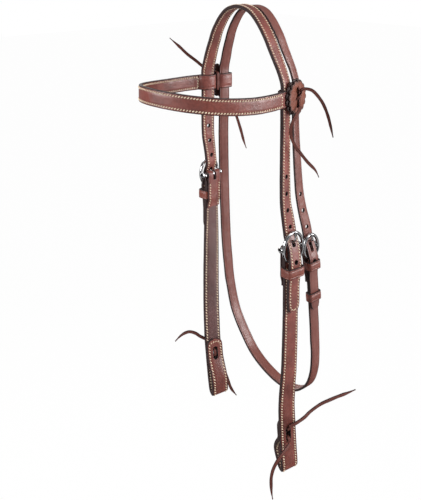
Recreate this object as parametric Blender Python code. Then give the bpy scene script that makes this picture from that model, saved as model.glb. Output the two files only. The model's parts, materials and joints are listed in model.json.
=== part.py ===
# Western headstall: crown, two cheek pieces, browband, throat latch, buckles, keepers,
# scalloped rosettes and leather ties. Metres, +Z up, +X to the horse's left (near) side,
# -Y to the front. The origin is the underside of the crown at the top of the poll.
import bpy
import bmesh
from bisect import bisect_right
from math import asin, cos, pi, radians, sin
from mathutils import Matrix, Vector

# Leather and hardware sizes
CHEEK_WIDTH = 0.0200
CROWN_WIDTH = 0.0165
THROAT_WIDTH = 0.0135
BAND_HEIGHT = 0.0180
PLY = 0.0020                 # one ply of the sewn straps
DOUBLED = 2 * PLY            # two plies sewn together
THROAT_PLY = 0.0025
EDGE = 0.0005                # chamfer on strap edges
GAP = 0.0003                 # between pieces that touch
CUT_PAST = 0.0030            # how far cutters run past a face

# Heights down the side, measured from the origin
BAND_Z = -0.0955
NEAR_BAR_Z = -0.2610
OFF_BAR_Z = -0.2105
THROAT_BAR_Z = -0.2680
CHEEK_LENGTH = 0.2620        # buckle bar to the bottom of the bit loop

# Punched holes, counted from the strap's tip
HOLE_RADIUS = 0.0022
HOLE_PITCH = 0.0186
CROWN_HOLES = 6
THROAT_HOLES = 5
TIP_TO_HOLE = 0.0545         # tip to the first hole
CROWN_PAST_BAR = 0.0685      # crown tip below the bar
THROAT_PAST_BAR = 0.0690
TONGUE_HOLE = 0.0052         # centre of the hole in use, above the bar
TONGUE_HOLE_LENGTH = 0.0066  # pulled long by the tongue
TIP_LENGTH = 0.0110          # rounded point of a billet

# Centre line of the hanging straps on each side: distance from the middle of the head,
# place front to back, and how far the outer face turns to the rear
CROWN_X = 0.0670
CROWN_Y = -0.0032
BAND_TURN = radians(14)
ARCH_LEAN = -0.0070          # the crown leans forward at the poll
CHEEK_X = 0.0685
CHEEK_Y = 0.0034
BAR_TURN = radians(-4)

# Shares of the arch: out from the middle (of CROWN_X) and down (of the browband's height)
ARCH_OUT_SHARES = (0.0, 0.15, 0.29, 0.44, 0.57, 0.68, 0.77, 0.86, 0.94, 1.0)
ARCH_DOWN_SHARES = (0.0, 0.015, 0.055, 0.150, 0.275, 0.410, 0.560, 0.710, 0.860, 1.0)

# Lower cheek: drop below the bar, distance from the middle, place front to back, turn
NEAR_DROP = (
    (0.0700, 0.0683, 0.0034, radians(-5)),
    (0.1350, 0.0640, 0.0055, radians(-8)),
    (0.1750, 0.0600, 0.0060, radians(-12)),
    (0.2080, 0.0567, 0.0105, radians(-16)),
    (0.2620, 0.0520, 0.0190, radians(-16)),
)
OFF_DROP = (
    (0.0800, 0.0680, 0.0030, radians(8)),
    (0.1350, 0.0640, -0.0006, radians(14)),
    (0.1750, 0.0600, -0.0030, radians(16)),
    (0.2080, 0.0570, -0.0032, radians(16)),
    (0.2620, 0.0520, -0.0005, radians(16)),
)

# Throat latch line: height, distance from the middle, front to back, turn. Heights are above
# or below the throat buckle's bar on the near side, and below the browband on the off side.
THROAT_SPACING = 0.0225      # crown centre to throat latch centre, at the browband
THROAT_ARCH_Y = 0.0130
NEAR_THROAT = (
    (0.1135, 0.0625, 0.0192, radians(10)),
    (0.0565, 0.0650, 0.0225, radians(4)),
    (0.0215, 0.0686, 0.0292, radians(-4)),
    (0.0000, 0.0698, 0.0320, radians(-4)),
    (-0.0335, 0.0712, 0.0345, radians(-4)),
    (-0.0835, 0.0722, 0.0378, radians(-4)),
    (-0.1235, 0.0715, 0.0405, 0.0),
)
OFF_THROAT = (
    (-0.0590, 0.0645, 0.0200, radians(12)),
    (-0.1160, 0.0720, 0.0272, radians(12)),
    (-0.1800, 0.0715, 0.0292, radians(10)),
    (-0.2110, 0.0700, 0.0300, radians(8)),
    (-0.2510, 0.0668, 0.0321, radians(4)),
)
# Under the jaw, from the off side to the near side: across, front to back, below the browband
THROAT_UNDER = (
    (-0.0590, 0.0360, -0.2910),
    (-0.0390, 0.0400, -0.3245),
    (-0.0230, 0.0410, -0.3385),
    (-0.0010, 0.0420, -0.3485),
    (0.0220, 0.0420, -0.3520),
    (0.0440, 0.0420, -0.3480),
    (0.0610, 0.0420, -0.3340),
    (0.0690, 0.0415, -0.3150),
)

# Buckles: bar to the middle of the rim above and below, rim width and depths
BAR_RADIUS = 0.0018
CHEEK_ARCH = 0.0180
CHEEK_LOWER = 0.0150
THROAT_ARCH = 0.0150
THROAT_LOWER = 0.0112
RIM_WIDTH = 0.0034
ARCH_DEPTH = 0.0040
LOWER_DEPTH = 0.0024
RIM_OUTSIDE_STRAP = 0.0040   # strap edge to the middle of the rim
EAR_RADIUS = 0.0032
EAR_CLEARANCE = 0.0006       # strap edge to ear
FRAME_PLAY = 0.0006          # lets the frame rock on its bar
TONGUE_WIDTH = 0.0028
TONGUE_THICKNESS = 0.0019
TONGUE_EYE = 0.0012          # wall of the eye round the bar
TONGUE_SLOT_CLEARANCE = 0.0008
TONGUE_PAST_RIM = 0.0022

# Keepers
KEEPER_HEIGHT = 0.0104
KEEPER_PLY = 0.0016
CHEEK_KEEPER_DROP = 0.0244   # bar to the keeper's middle
THROAT_KEEPER_HEIGHT = 0.0095
THROAT_KEEPER_DROP = 0.0186
LOOSE_KEEPER_DROP = 0.0545
LOOSE_KEEPER_CLEARANCE = 0.0005
KEEPER_CORNER = 0.0014
FOLD_BACK = 0.0400           # sewn end of a cheek below its bar
THROAT_FOLD_BACK = 0.0380

# Bit loops
LOOP_LENGTH = 0.0640         # tip of the turned up end above the loop's bottom
LOOP_BOTTOM_GAP = 0.0058     # open width in the fold at the bottom
NEAR_LOOP_GAP = 0.0120       # widest part of the opening
OFF_LOOP_GAP = 0.0078
LOOP_CLOSED = 0.0380         # height of the opening above the fold
# Shape of the opening: height share, below (-1) or above (1) the widest place, closing share
LOOP_SHARES = (
    (0.14, -1, 0.42), (0.32, 1, 0.0), (0.50, 1, 0.16), (0.66, 1, 0.46), (0.82, 1, 0.80), (0.95, 1, 1.0),
)
TIE_HEIGHT = 0.0480          # middle of the tie slot above the bottom
TIE_SLOT_LENGTH = 0.0150
TIE_SLOT_WIDTH = 0.0056

# Browband
BAND_REACH = 0.0950          # front of the band ahead of its widest line
BAND_CENTRE_Y = -0.0400
BAND_RAISE = 0.0096          # the front sits higher than the ends
BAND_SEAM = 0.0042           # cross seam ahead of the crown's front edge

# Rosettes and laces
ROSETTE_RADIUS = 0.0192
ROSETTE_BACK_RADIUS = 0.0208
ROSETTE_THICKNESS = 0.0021
SCALLOPS = 16
SCALLOP_DEPTH = 0.0011
SCALLOP_POINTS = 4
LACE_WIDTH = 0.0036
LACE_THICKNESS = 0.0016
LACE_CORNER = 0.0012
LACE_CLEARANCE = 0.0005
TAIL_RADIUS = 0.0015
ROSETTE_TURN = radians(6)

# Free lace ends, from the knot to the tip
TAIL_ROUTES = {
    "rosette_tail_near_upper": (
        (0.0767, 0.0102, -0.0882), (0.0812, 0.0112, -0.0850), (0.0880, 0.0180, -0.0870),
        (0.0905, 0.0280, -0.0975), (0.0910, 0.0350, -0.1075), (0.0905, 0.0410, -0.1185),
        (0.0895, 0.0460, -0.1295), (0.0875, 0.0530, -0.1445),
    ),
    "rosette_tail_near_lower": (
        (0.0775, 0.0100, -0.1045), (0.0795, 0.0040, -0.1105), (0.0785, -0.0040, -0.1205),
        (0.0780, -0.0055, -0.1335), (0.0785, 0.0010, -0.1475), (0.0795, 0.0080, -0.1555),
        (0.0800, 0.0180, -0.1665), (0.0810, 0.0300, -0.1780), (0.0820, 0.0350, -0.1870),
    ),
    "rosette_tail_off_upper": (
        (-0.0772, 0.0108, -0.0875), (-0.0800, 0.0030, -0.0815), (-0.0840, -0.0080, -0.0715),
        (-0.0875, -0.0190, -0.0625), (-0.0910, -0.0300, -0.0515), (-0.0950, -0.0410, -0.0410),
    ),
    "rosette_tail_off_lower": (
        (-0.0770, 0.0106, -0.1042), (-0.0800, 0.0220, -0.1145), (-0.0805, 0.0400, -0.1295),
        (-0.0800, 0.0530, -0.1450), (-0.0790, 0.0610, -0.1650), (-0.0800, 0.0680, -0.1830),
        (-0.0800, 0.0730, -0.1950),
    ),
    "loop_tail_near_upper": (
        (0.0612, 0.0090, -0.4645), (0.0642, 0.0165, -0.4628), (0.0665, 0.0275, -0.4603),
        (0.0675, 0.0370, -0.4570), (0.0705, 0.0505, -0.4532), (0.0735, 0.0630, -0.4523),
        (0.0765, 0.0755, -0.4518), (0.0795, 0.0880, -0.4519), (0.0820, 0.0995, -0.4516),
    ),
    "loop_tail_near_lower": (
        (0.0598, 0.0110, -0.4862), (0.0603, 0.0040, -0.4888), (0.0600, -0.0030, -0.4925),
        (0.0590, -0.0090, -0.4975), (0.0580, -0.0130, -0.5035), (0.0572, -0.0150, -0.5110),
        (0.0570, -0.0152, -0.5190), (0.0570, -0.0145, -0.5280), (0.0572, -0.0130, -0.5364),
    ),
    "loop_tail_off_upper": (
        (-0.0611, -0.0022, -0.4138), (-0.0642, -0.0088, -0.4108), (-0.0652, -0.0170, -0.4050),
        (-0.0640, -0.0250, -0.3980), (-0.0640, -0.0337, -0.3930), (-0.0635, -0.0420, -0.3915),
        (-0.0630, -0.0495, -0.3925), (-0.0620, -0.0570, -0.3950),
    ),
    "loop_tail_off_lower": (
        (-0.0608, -0.0028, -0.4349), (-0.0625, 0.0060, -0.4440), (-0.0635, 0.0150, -0.4540),
        (-0.0635, 0.0225, -0.4655), (-0.0640, 0.0271, -0.4760), (-0.0660, 0.0339, -0.4899),
        (-0.0680, 0.0447, -0.5043),
    ),
}

# Segment counts
ARC_STEPS = 8
LOOP_STEPS = 7
RING_STEPS = 32
HOLE_SIDES = 10
LINE_STEP_SHARE = 0.070      # ring spacing on long runs, of CHEEK_LENGTH
CORD_STEP_DIAMETERS = 2.4


def clear_scene():
    for item in list(bpy.data.objects):
        bpy.data.objects.remove(item, do_unlink=True)


def material(name, colour, roughness, metallic=0.0):
    made = bpy.data.materials.new(name)
    made.use_nodes = True
    shader = made.node_tree.nodes["Principled BSDF"]
    shader.inputs["Base Color"].default_value = (*colour, 1.0)
    shader.inputs["Roughness"].default_value = roughness
    shader.inputs["Metallic"].default_value = metallic
    made.diffuse_color = (*colour, 1.0)
    return made


def link(name, mesh, finish):
    item = bpy.data.objects.new(name, mesh)
    mesh.materials.append(finish)
    bpy.context.scene.collection.objects.link(item)
    return item


def mesh_object(name, work, finish, origin=None, smooth=radians(35)):
    """Turns a bmesh in world places into an object whose origin may lie on a joint axis."""
    bmesh.ops.recalc_face_normals(work, faces=work.faces)
    if origin is not None:
        bmesh.ops.translate(work, verts=work.verts, vec=-origin)
    mesh = bpy.data.meshes.new(name)
    work.to_mesh(mesh)
    work.free()
    mesh.shade_smooth()
    mesh.set_sharp_from_angle(angle=smooth)
    item = link(name, mesh, finish)
    if origin is not None:
        item.location = origin
    return item


def cutter(name, work):
    item = mesh_object(name, work, FINISH["leather"])
    item.hide_render = True
    item.display_type = "WIRE"
    return item


def boolean(item, tool, operation="DIFFERENCE"):
    change = item.modifiers.new(operation.title(), "BOOLEAN")
    change.operation = operation
    change.solver = "EXACT"
    change.object = tool


def spline(knots, place):
    """Reads a smooth curve through knots (place, value, value, ...) sorted by falling place."""
    places = [-knot[0] for knot in knots]
    index = min(max(bisect_right(places, -place) - 1, 0), len(knots) - 2)

    def slope(at):
        low = max(at - 1, 0)
        high = min(at + 1, len(knots) - 1)
        run = knots[high][0] - knots[low][0]
        return [(b - a) / run for a, b in zip(knots[low][1:], knots[high][1:])]

    start, end = knots[index], knots[index + 1]
    run = end[0] - start[0]
    t = (place - start[0]) / run
    if t < 0 or t > 1:
        edge, lean = (start, slope(index)) if t < 0 else (end, slope(index + 1))
        return [value + rate * (place - edge[0]) for value, rate in zip(edge[1:], lean)]
    h00 = 2 * t ** 3 - 3 * t ** 2 + 1
    h10 = t ** 3 - 2 * t ** 2 + t
    h01 = 3 * t ** 2 - 2 * t ** 3
    h11 = t ** 3 - t ** 2
    pairs = zip(start[1:], end[1:], slope(index), slope(index + 1))
    return [h00 * a + h10 * run * m + h01 * b + h11 * run * n for a, b, m, n in pairs]


class Line:
    """The centre line of the straps on one side, with an outward and a rearward direction."""

    def __init__(self, side, knots):
        self.side = side
        self.knots = knots

    def centre(self, z):
        x, y, _ = spline(self.knots, z)
        return Vector((self.side * x, y, z))

    def axes(self, z):
        turn = spline(self.knots, z)[2]
        step = GAP
        down = (self.centre(z - step) - self.centre(z + step)).normalized()
        across = Vector((-self.side * sin(turn), cos(turn), 0.0))
        across = (across - down * across.dot(down)).normalized()
        out = down.cross(across) * self.side
        return across, out.normalized(), down

    def place(self, u, s, z):
        across, out, _ = self.axes(z)
        return self.centre(z) + across * u + out * s

    def rigid(self, z):
        """Matrix of a flat piece at height z: x across to the rear, y outward, z up."""
        across, out, down = self.axes(z)
        made = Matrix((across, out, -down)).transposed().to_4x4()
        made.translation = self.centre(z)
        return made


def side_line(side, bar_z, drop):
    upper = [
        (0.5 * BAND_Z, CROWN_X, CROWN_Y, BAND_TURN),
        (BAND_Z, CROWN_X, CROWN_Y, BAND_TURN),
        (BAND_Z - 1.5 * BAND_HEIGHT, CROWN_X, CROWN_Y, BAND_TURN),
        (bar_z + 3 * CHEEK_ARCH, CROWN_X, CROWN_Y, 0.6 * BAND_TURN),
        (bar_z + 1.5 * CHEEK_ARCH, 0.5 * (CROWN_X + CHEEK_X), CHEEK_Y - 0.6 * DOUBLED, BAR_TURN),
        (bar_z + 0.5 * CHEEK_ARCH, CHEEK_X, CHEEK_Y, BAR_TURN),
        (bar_z - 1.2 * CHEEK_LOWER, CHEEK_X, CHEEK_Y, BAR_TURN),
        (bar_z - 2.4 * CHEEK_LOWER, CHEEK_X, CHEEK_Y, BAR_TURN),
    ]
    lower = [(bar_z - knot[0] * CHEEK_LENGTH / drop[-1][0], *knot[1:]) for knot in drop]
    return Line(side, upper + lower)


def throat_line(side, crown_line, knots, from_z):
    across, _, _ = crown_line.axes(BAND_Z)
    at_band = crown_line.centre(BAND_Z) + across * THROAT_SPACING
    x, y = abs(at_band.x), at_band.y
    upper = [
        (0.5 * BAND_Z, x, y, BAND_TURN),
        (BAND_Z, x, y, BAND_TURN),
        (BAND_Z - 1.5 * BAND_HEIGHT, x, y, BAND_TURN),
    ]
    lower = [(from_z + knot[0], *knot[1:]) for knot in knots]
    return Line(side, upper + lower)


def section(width, thickness, chamfer):
    """Outline of a strap: across, then through its thickness."""
    w, t = 0.5 * width, 0.5 * thickness
    c = min(chamfer, 0.5 * t)
    corner = [(w, c - t), (w, t - c), (w - c, t), (c - w, t)]
    return corner + [(-a, -b) for a, b in corner]


def sweep(rings, closed=False):
    """Joins rings of points, given in order, into a closed skin."""
    work = bmesh.new()
    loops = [[work.verts.new(point) for point in ring] for ring in rings]
    count = len(loops[0])
    last = len(loops) if closed else len(loops) - 1
    for index in range(last):
        one, two = loops[index], loops[(index + 1) % len(loops)]
        for k in range(count):
            m = (k + 1) % count
            work.faces.new((one[k], one[m], two[m], two[k]))
    if not closed:
        work.faces.new(loops[0])
        work.faces.new(loops[-1])
    return work


def strap_rings(stations):
    """Rings for stations (centre, across direction, width, thickness)."""
    rings = []
    for index, (centre, across, width, thickness) in enumerate(stations):
        before = stations[max(index - 1, 0)][0]
        after = stations[min(index + 1, len(stations) - 1)][0]
        along = (after - before).normalized()
        flat = (across - along * across.dot(along)).normalized()
        through = along.cross(flat)
        outline = section(width, thickness, EDGE)
        rings.append([centre + flat * a + through * b for a, b in outline])
    return rings


def arc(centre_s, centre_z, radius, start, end, steps):
    """Points (outward, height) on an arc; angle 0 points outward, a quarter turn points up."""
    turns = [start + (end - start) * k / steps for k in range(steps + 1)]
    return [(centre_s + radius * cos(t), centre_z + radius * sin(t)) for t in turns]


def run(start, end, step):
    """Heights from start to end, both included, about one step apart."""
    count = max(1, round(abs(end - start) / step))
    return [start + (end - start) * k / count for k in range(count + 1)]


def tip_widths(width, length, steps):
    """Distances from the tip and widths of a rounded point."""
    shares = [1 - cos(0.5 * pi * k / steps) for k in range(steps + 1)]
    widths = [width * max(0.30, sin(0.5 * pi * k / steps) ** 0.5) for k in range(steps + 1)]
    return [(length * share, wide) for share, wide in zip(shares, widths)]


class Stack:
    """Layers at a buckle, measured outward from the middle of the sewn strap."""

    def __init__(self, width, thickness, wrap, billet, arch, lower):
        self.width = width
        self.thickness = thickness
        self.wrap = wrap
        self.billet = billet
        self.arch = arch
        self.lower = lower
        self.face = 0.5 * thickness
        self.wrap_radius = BAR_RADIUS + GAP + 0.5 * wrap
        self.bar_s = self.face - 0.5 * wrap - self.wrap_radius
        self.lower_s = self.face + FRAME_PLAY + 0.5 * LOWER_DEPTH
        self.arch_s = self.lower_s - 0.5 * LOWER_DEPTH + 0.5 * ARCH_DEPTH
        self.billet_at_arch = self.arch_s - 0.5 * ARCH_DEPTH - FRAME_PLAY - 0.5 * billet
        self.billet_at_bar = self.face + GAP + 0.5 * billet
        self.billet_at_lower = self.lower_s + 0.5 * LOWER_DEPTH + FRAME_PLAY + 0.5 * billet
        self.fold_back = -self.face - GAP - 0.5 * wrap
        self.fold_over_keeper = self.fold_back - KEEPER_PLY - GAP

    def billet_knots(self, bar_z):
        """Outward place of the billet by height, above and below the bar."""
        return [
            (bar_z + 2.6 * self.arch, 0.0),
            (bar_z + 1.6 * self.arch, 0.5 * self.billet_at_arch),
            (bar_z + 1.1 * self.arch, self.billet_at_arch),
            (bar_z + 0.74 * self.arch, self.billet_at_arch),
            (bar_z + 0.1 * self.arch, self.billet_at_bar + 0.5 * GAP),
            (bar_z - 0.8 * self.lower, self.billet_at_lower - GAP),
            (bar_z - self.lower, self.billet_at_lower + GAP),
            (bar_z - 1.3 * self.lower, self.billet_at_lower - GAP),
            (bar_z - 2.6 * self.lower, self.billet_at_bar + GAP),
            (bar_z - 3.4 * self.lower, self.billet_at_bar),
            (bar_z - 5.0 * self.lower, self.billet_at_bar),
        ]

    def billet_at(self, bar_z, z):
        if z > bar_z + 2.6 * self.arch:
            return 0.0
        return spline(self.billet_knots(bar_z), z)[0]


def billet_stations(line, stack, bar_z, past_bar, from_z, width, thickness):
    """Stations of a punched strap end, from its tip up to from_z."""
    tip_z = bar_z - past_bar
    stations = []
    for distance, wide in tip_widths(width, TIP_LENGTH, 5):
        z = tip_z + distance
        stations.append((z, wide))
    fine = run(stations[-1][0], bar_z + 1.7 * stack.arch, 0.25 * stack.lower)
    coarse = run(fine[-1], from_z, LINE_STEP_SHARE * CHEEK_LENGTH)
    stations += [(z, width) for z in fine[1:] + coarse[1:]]
    made = []
    for z, wide in stations:
        across, _, _ = line.axes(z)
        made.append((line.place(0.0, stack.billet_at(bar_z, z), z), across, wide, thickness))
    return made


def hole_cutter(name, places):
    """Round punches; each place is (centre, punch direction, lengthening direction, length)."""
    work = bmesh.new()
    for centre, along, stretch, length in places:
        side = along.cross(stretch).normalized()
        outline = []
        extra = 0.5 * length - HOLE_RADIUS
        for k in range(HOLE_SIDES):
            turn = 2 * pi * (k + 0.5) / HOLE_SIDES
            shift = extra if sin(turn) > 0 else -extra
            lift = HOLE_RADIUS * sin(turn) + shift
            outline.append(side * HOLE_RADIUS * cos(turn) + stretch * lift)
        reach = along * (CUT_PAST + DOUBLED)
        one = [work.verts.new(centre + point - reach) for point in outline]
        two = [work.verts.new(centre + point + reach) for point in outline]
        work.faces.new(one)
        work.faces.new(two)
        for k in range(HOLE_SIDES):
            m = (k + 1) % HOLE_SIDES
            work.faces.new((one[k], one[m], two[m], two[k]))
    return cutter(name, work)


def billet_holes(line, stack, bar_z, past_bar, count):
    """Punch places of one billet: the hole in use sits at the tongue, the others a pitch apart."""
    in_use = bar_z + TONGUE_HOLE
    first = bar_z - past_bar + TIP_TO_HOLE
    below = round((in_use - first) / HOLE_PITCH)
    places = []
    for index in range(count):
        z = in_use + (index - below) * HOLE_PITCH
        _, out, down = line.axes(z)
        centre = line.place(0.0, stack.billet_at(bar_z, z), z)
        step = GAP
        slope = (stack.billet_at(bar_z, z + step) - stack.billet_at(bar_z, z - step)) / (2 * step)
        stretch = (out * slope - down).normalized()
        across, _, _ = line.axes(z)
        punch = stretch.cross(across).normalized()
        length = TONGUE_HOLE_LENGTH if index == below else 2 * HOLE_RADIUS
        places.append((centre, punch, stretch, length))
    return places


def arch_stations(lines, width, thickness, lean_y, lift):
    """Over the poll: from the near line at the browband to the off line, both at arch height."""
    near, off = lines
    top = Vector((0.0, lean_y, lift + 0.5 * thickness))
    shares = list(zip(ARCH_OUT_SHARES, ARCH_DOWN_SHARES))
    drop_z = BAND_Z + 0.9 * BAND_HEIGHT
    stations = []

    def point(line, out_share, down_share):
        foot = line.centre(drop_z)
        down = top.z + (drop_z - top.z) * down_share
        blend = min(1.0, down_share / 0.9)
        y = lean_y + (foot.y - lean_y) * blend ** 2
        across, _, _ = line.axes(drop_z)
        flat = Vector((0.0, 1.0, 0.0)).lerp(across, blend ** 2).normalized()
        return Vector((foot.x * out_share, y, down)), flat

    for line, order in ((near, reversed(shares)), (off, shares[1:])):
        for out_share, down_share in order:
            centre, flat = point(line, out_share, down_share)
            stations.append((centre, flat, width, thickness))
    return stations


def make_crown(lines, stack):
    near, off = lines
    start_z = BAND_Z + 0.9 * BAND_HEIGHT
    near_part = billet_stations(near, stack, NEAR_BAR_Z, CROWN_PAST_BAR, start_z, CROWN_WIDTH, DOUBLED)
    off_part = billet_stations(off, stack, OFF_BAR_Z, CROWN_PAST_BAR, start_z, CROWN_WIDTH, DOUBLED)
    middle = arch_stations(lines, CROWN_WIDTH, DOUBLED, ARCH_LEAN, 0.0)
    stations = near_part[:-1] + middle + off_part[:-1][::-1]
    crown = mesh_object("crown_strap", sweep(strap_rings(stations)), FINISH["leather"])
    places = billet_holes(near, stack, NEAR_BAR_Z, CROWN_PAST_BAR, CROWN_HOLES)
    places += billet_holes(off, stack, OFF_BAR_Z, CROWN_PAST_BAR, CROWN_HOLES)
    boolean(crown, hole_cutter("crown_punches", places))
    return crown


def fold_path(stack, bar_z, fold_back, keeper_drop):
    """Sewn end, from its tip below the bar on the inner side, round the bar to the outer side."""
    under = [
        (stack.fold_back, bar_z - fold_back),
        (stack.fold_back, bar_z - keeper_drop - 1.15 * KEEPER_HEIGHT),
        (stack.fold_over_keeper, bar_z - keeper_drop - 0.60 * KEEPER_HEIGHT),
        (stack.fold_over_keeper, bar_z - keeper_drop),
        (stack.fold_over_keeper, bar_z - keeper_drop + 0.60 * KEEPER_HEIGHT),
        (stack.bar_s - stack.wrap_radius, bar_z - stack.wrap_radius),
    ]
    return under + arc(stack.bar_s, bar_z, stack.wrap_radius, pi, 0.0, ARC_STEPS)


def tongue_slot(line, stack, bar_z, name):
    """Cutter of the slot that lets the tongue out of the folded end."""
    frame = line.rigid(bar_z)
    half = 0.5 * (TONGUE_WIDTH + 2 * TONGUE_SLOT_CLEARANCE)
    deep = stack.wrap_radius + stack.wrap + CUT_PAST
    low = -2.2 * stack.wrap_radius
    work = bmesh.new()
    corners = []
    for z in (low, deep):
        for u, s in ((-half, -deep), (half, -deep), (half, deep), (-half, deep)):
            corners.append(work.verts.new(frame @ Vector((u, stack.bar_s + s, z))))
    for face in ((0, 1, 2, 3), (4, 5, 6, 7), (0, 1, 5, 4), (1, 2, 6, 5), (2, 3, 7, 6), (3, 0, 4, 7)):
        work.faces.new([corners[k] for k in face])
    return cutter(name, work)


def make_cheek(name, line, stack, bar_z, gap):
    """One sewn strap: folded round the buckle bar at the top and into the bit loop below."""
    bottom = bar_z - CHEEK_LENGTH
    outer_s = stack.face - 0.5 * stack.wrap
    path = [(s, z, stack.wrap) for s, z in fold_path(stack, bar_z, FOLD_BACK, CHEEK_KEEPER_DROP)]
    path.append((outer_s, bar_z - 1.6 * stack.wrap_radius, stack.wrap))
    full = bar_z - 2.6 * stack.wrap_radius
    loop_radius = 0.5 * (LOOP_BOTTOM_GAP + DOUBLED)
    turn_z = bottom + loop_radius + 0.5 * DOUBLED
    path += [(0.0, z, DOUBLED) for z in run(full, turn_z, LINE_STEP_SHARE * CHEEK_LENGTH)]
    turn = arc(-loop_radius, turn_z, loop_radius, 0.0, -pi, LOOP_STEPS)
    path += [(s, z, DOUBLED) for s, z in turn[1:]]
    fold_s = -2 * loop_radius
    wide_s = -(gap + DOUBLED)
    closed_s = -(DOUBLED + GAP)
    for share, middle, weight in LOOP_SHARES:
        side_s = fold_s if middle < 0 else closed_s
        path.append((wide_s + (side_s - wide_s) * weight, turn_z + share * LOOP_CLOSED, DOUBLED))
    path.append((closed_s, bottom + TIE_HEIGHT, DOUBLED))
    stations = []
    for s, z, thickness in path:
        across, _, _ = line.axes(z)
        stations.append((line.place(0.0, s, z), across, CHEEK_WIDTH, thickness))
    tip = tip_widths(CHEEK_WIDTH, 0.4 * CHEEK_WIDTH, 4)
    for distance, wide in reversed(tip):
        z = bottom + LOOP_LENGTH - distance
        across, _, _ = line.axes(z)
        stations.append((line.place(0.0, closed_s, z), across, wide, DOUBLED))
    cheek = mesh_object(name, sweep(strap_rings(stations)), FINISH["leather"])
    boolean(cheek, tongue_slot(line, stack, bar_z, name + "_tongue_slot"))
    boolean(cheek, tie_slot(line, bottom, name + "_tie_slot"))
    return cheek


def slot_outline(width, length):
    """Round-ended slot as (across, up) points."""
    radius = 0.5 * width
    half = 0.5 * length - radius
    points = []
    for k in range(HOLE_SIDES):
        turn = 2 * pi * (k + 0.5) / HOLE_SIDES
        points.append((radius * cos(turn), radius * sin(turn) + (half if sin(turn) > 0 else -half)))
    return points


def prism(frame, outline, low, high):
    """Outline (across, up) pushed along the outward direction of a frame."""
    work = bmesh.new()
    one = [work.verts.new(frame @ Vector((u, low, z))) for u, z in outline]
    two = [work.verts.new(frame @ Vector((u, high, z))) for u, z in outline]
    work.faces.new(one)
    work.faces.new(two)
    for k in range(len(outline)):
        m = (k + 1) % len(outline)
        work.faces.new((one[k], one[m], two[m], two[k]))
    return work


def tie_slot(line, bottom, name):
    frame = line.rigid(bottom + TIE_HEIGHT)
    outline = slot_outline(TIE_SLOT_WIDTH, TIE_SLOT_LENGTH)
    return cutter(name, prism(frame, outline, -2 * DOUBLED - CUT_PAST, DOUBLED + CUT_PAST))


def throat_stations(lines, stack):
    """The whole throat latch: fold at the near buckle, under the jaw, over the poll, to its tip."""
    near, off = lines
    stations = []
    for s, z in fold_path(stack, THROAT_BAR_Z, THROAT_FOLD_BACK, THROAT_KEEPER_DROP):
        across, _, _ = near.axes(z)
        stations.append((near.place(0.0, s, z), across, THROAT_WIDTH, stack.wrap))
    low_z = THROAT_BAR_Z + NEAR_THROAT[-1][0]
    off_low_z = BAND_Z + OFF_THROAT[-1][0]
    for z in run(THROAT_BAR_Z - 1.6 * stack.wrap_radius, low_z, LINE_STEP_SHARE * CHEEK_LENGTH):
        across, _, _ = near.axes(z)
        stations.append((near.centre(z), across, THROAT_WIDTH, stack.wrap))
    rear = Vector((0.0, 1.0, 0.0))
    under = [Vector((x, y, BAND_Z + z)) for x, y, z in reversed(THROAT_UNDER)]
    ends = [near.centre(low_z)] + under + [off.centre(off_low_z)]
    smooth = smooth_points(ends, 3)
    # The strap is swept the other way round past the bottom, so its rearward side stays the same
    for point in smooth[1:-1]:
        stations.append((point, rear, THROAT_WIDTH, stack.wrap))
    start_z = BAND_Z + 0.9 * BAND_HEIGHT
    for z in run(off_low_z, start_z, LINE_STEP_SHARE * CHEEK_LENGTH):
        across, _, _ = off.axes(z)
        stations.append((off.centre(z), across, THROAT_WIDTH, stack.wrap))
    middle = arch_stations(lines, THROAT_WIDTH, stack.wrap, THROAT_ARCH_Y, 0.0)
    stations += middle[::-1][1:-1]
    thick = stack.billet
    billet = billet_stations(near, stack, THROAT_BAR_Z, THROAT_PAST_BAR, start_z, THROAT_WIDTH, thick)
    stations += billet[::-1]
    return stations


def smooth_points(points, per_span):
    """Points of a smooth curve through the given ones."""
    made = []
    last = len(points) - 1
    for index in range(last):
        a = points[max(index - 1, 0)]
        b, c = points[index], points[index + 1]
        d = points[min(index + 2, last)]
        for step in range(per_span):
            t = step / per_span
            first = (c - a) * 0.5
            second = (d - b) * 0.5
            made.append(
                b * (2 * t ** 3 - 3 * t ** 2 + 1)
                + first * (t ** 3 - 2 * t ** 2 + t)
                + c * (3 * t ** 2 - 2 * t ** 3)
                + second * (t ** 3 - t ** 2)
            )
    made.append(points[-1])
    return made


def make_throat_latch(lines, stack):
    skin = sweep(strap_rings(throat_stations(lines, stack)))
    latch = mesh_object("throat_latch", skin, FINISH["leather"])
    near = lines[0]
    places = billet_holes(near, stack, THROAT_BAR_Z, THROAT_PAST_BAR, THROAT_HOLES)
    boolean(latch, hole_cutter("throat_punches", places))
    boolean(latch, tongue_slot(near, stack, THROAT_BAR_Z, "throat_tongue_slot"))
    return latch


def ring_skin(frame, inner, ply, height, corner):
    """A keeper: a flat band bent into a closed loop round the outline inner = (u0, s0, u1, s1)."""
    u0, s0, u1, s1 = inner
    outline = []
    for cu, cs, start in ((u1, s1, 0.0), (u0, s1, 0.5 * pi), (u0, s0, pi), (u1, s0, 1.5 * pi)):
        inward_u = corner if cu == u0 else -corner
        inward_s = corner if cs == s0 else -corner
        for k in range(4):
            turn = start + 0.5 * pi * k / 3
            outline.append((cu + inward_u, cs + inward_s, cos(turn), sin(turn)))
    rings = []
    for u, s, a, b in outline:
        ring = []
        for distance, z in ((corner, -0.5 * height), (corner + ply, -0.5 * height),
                            (corner + ply, 0.5 * height), (corner, 0.5 * height)):
            ring.append(frame @ Vector((u + a * distance, s + b * distance, z)))
        rings.append(ring)
    return sweep(rings, closed=True)


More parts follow.
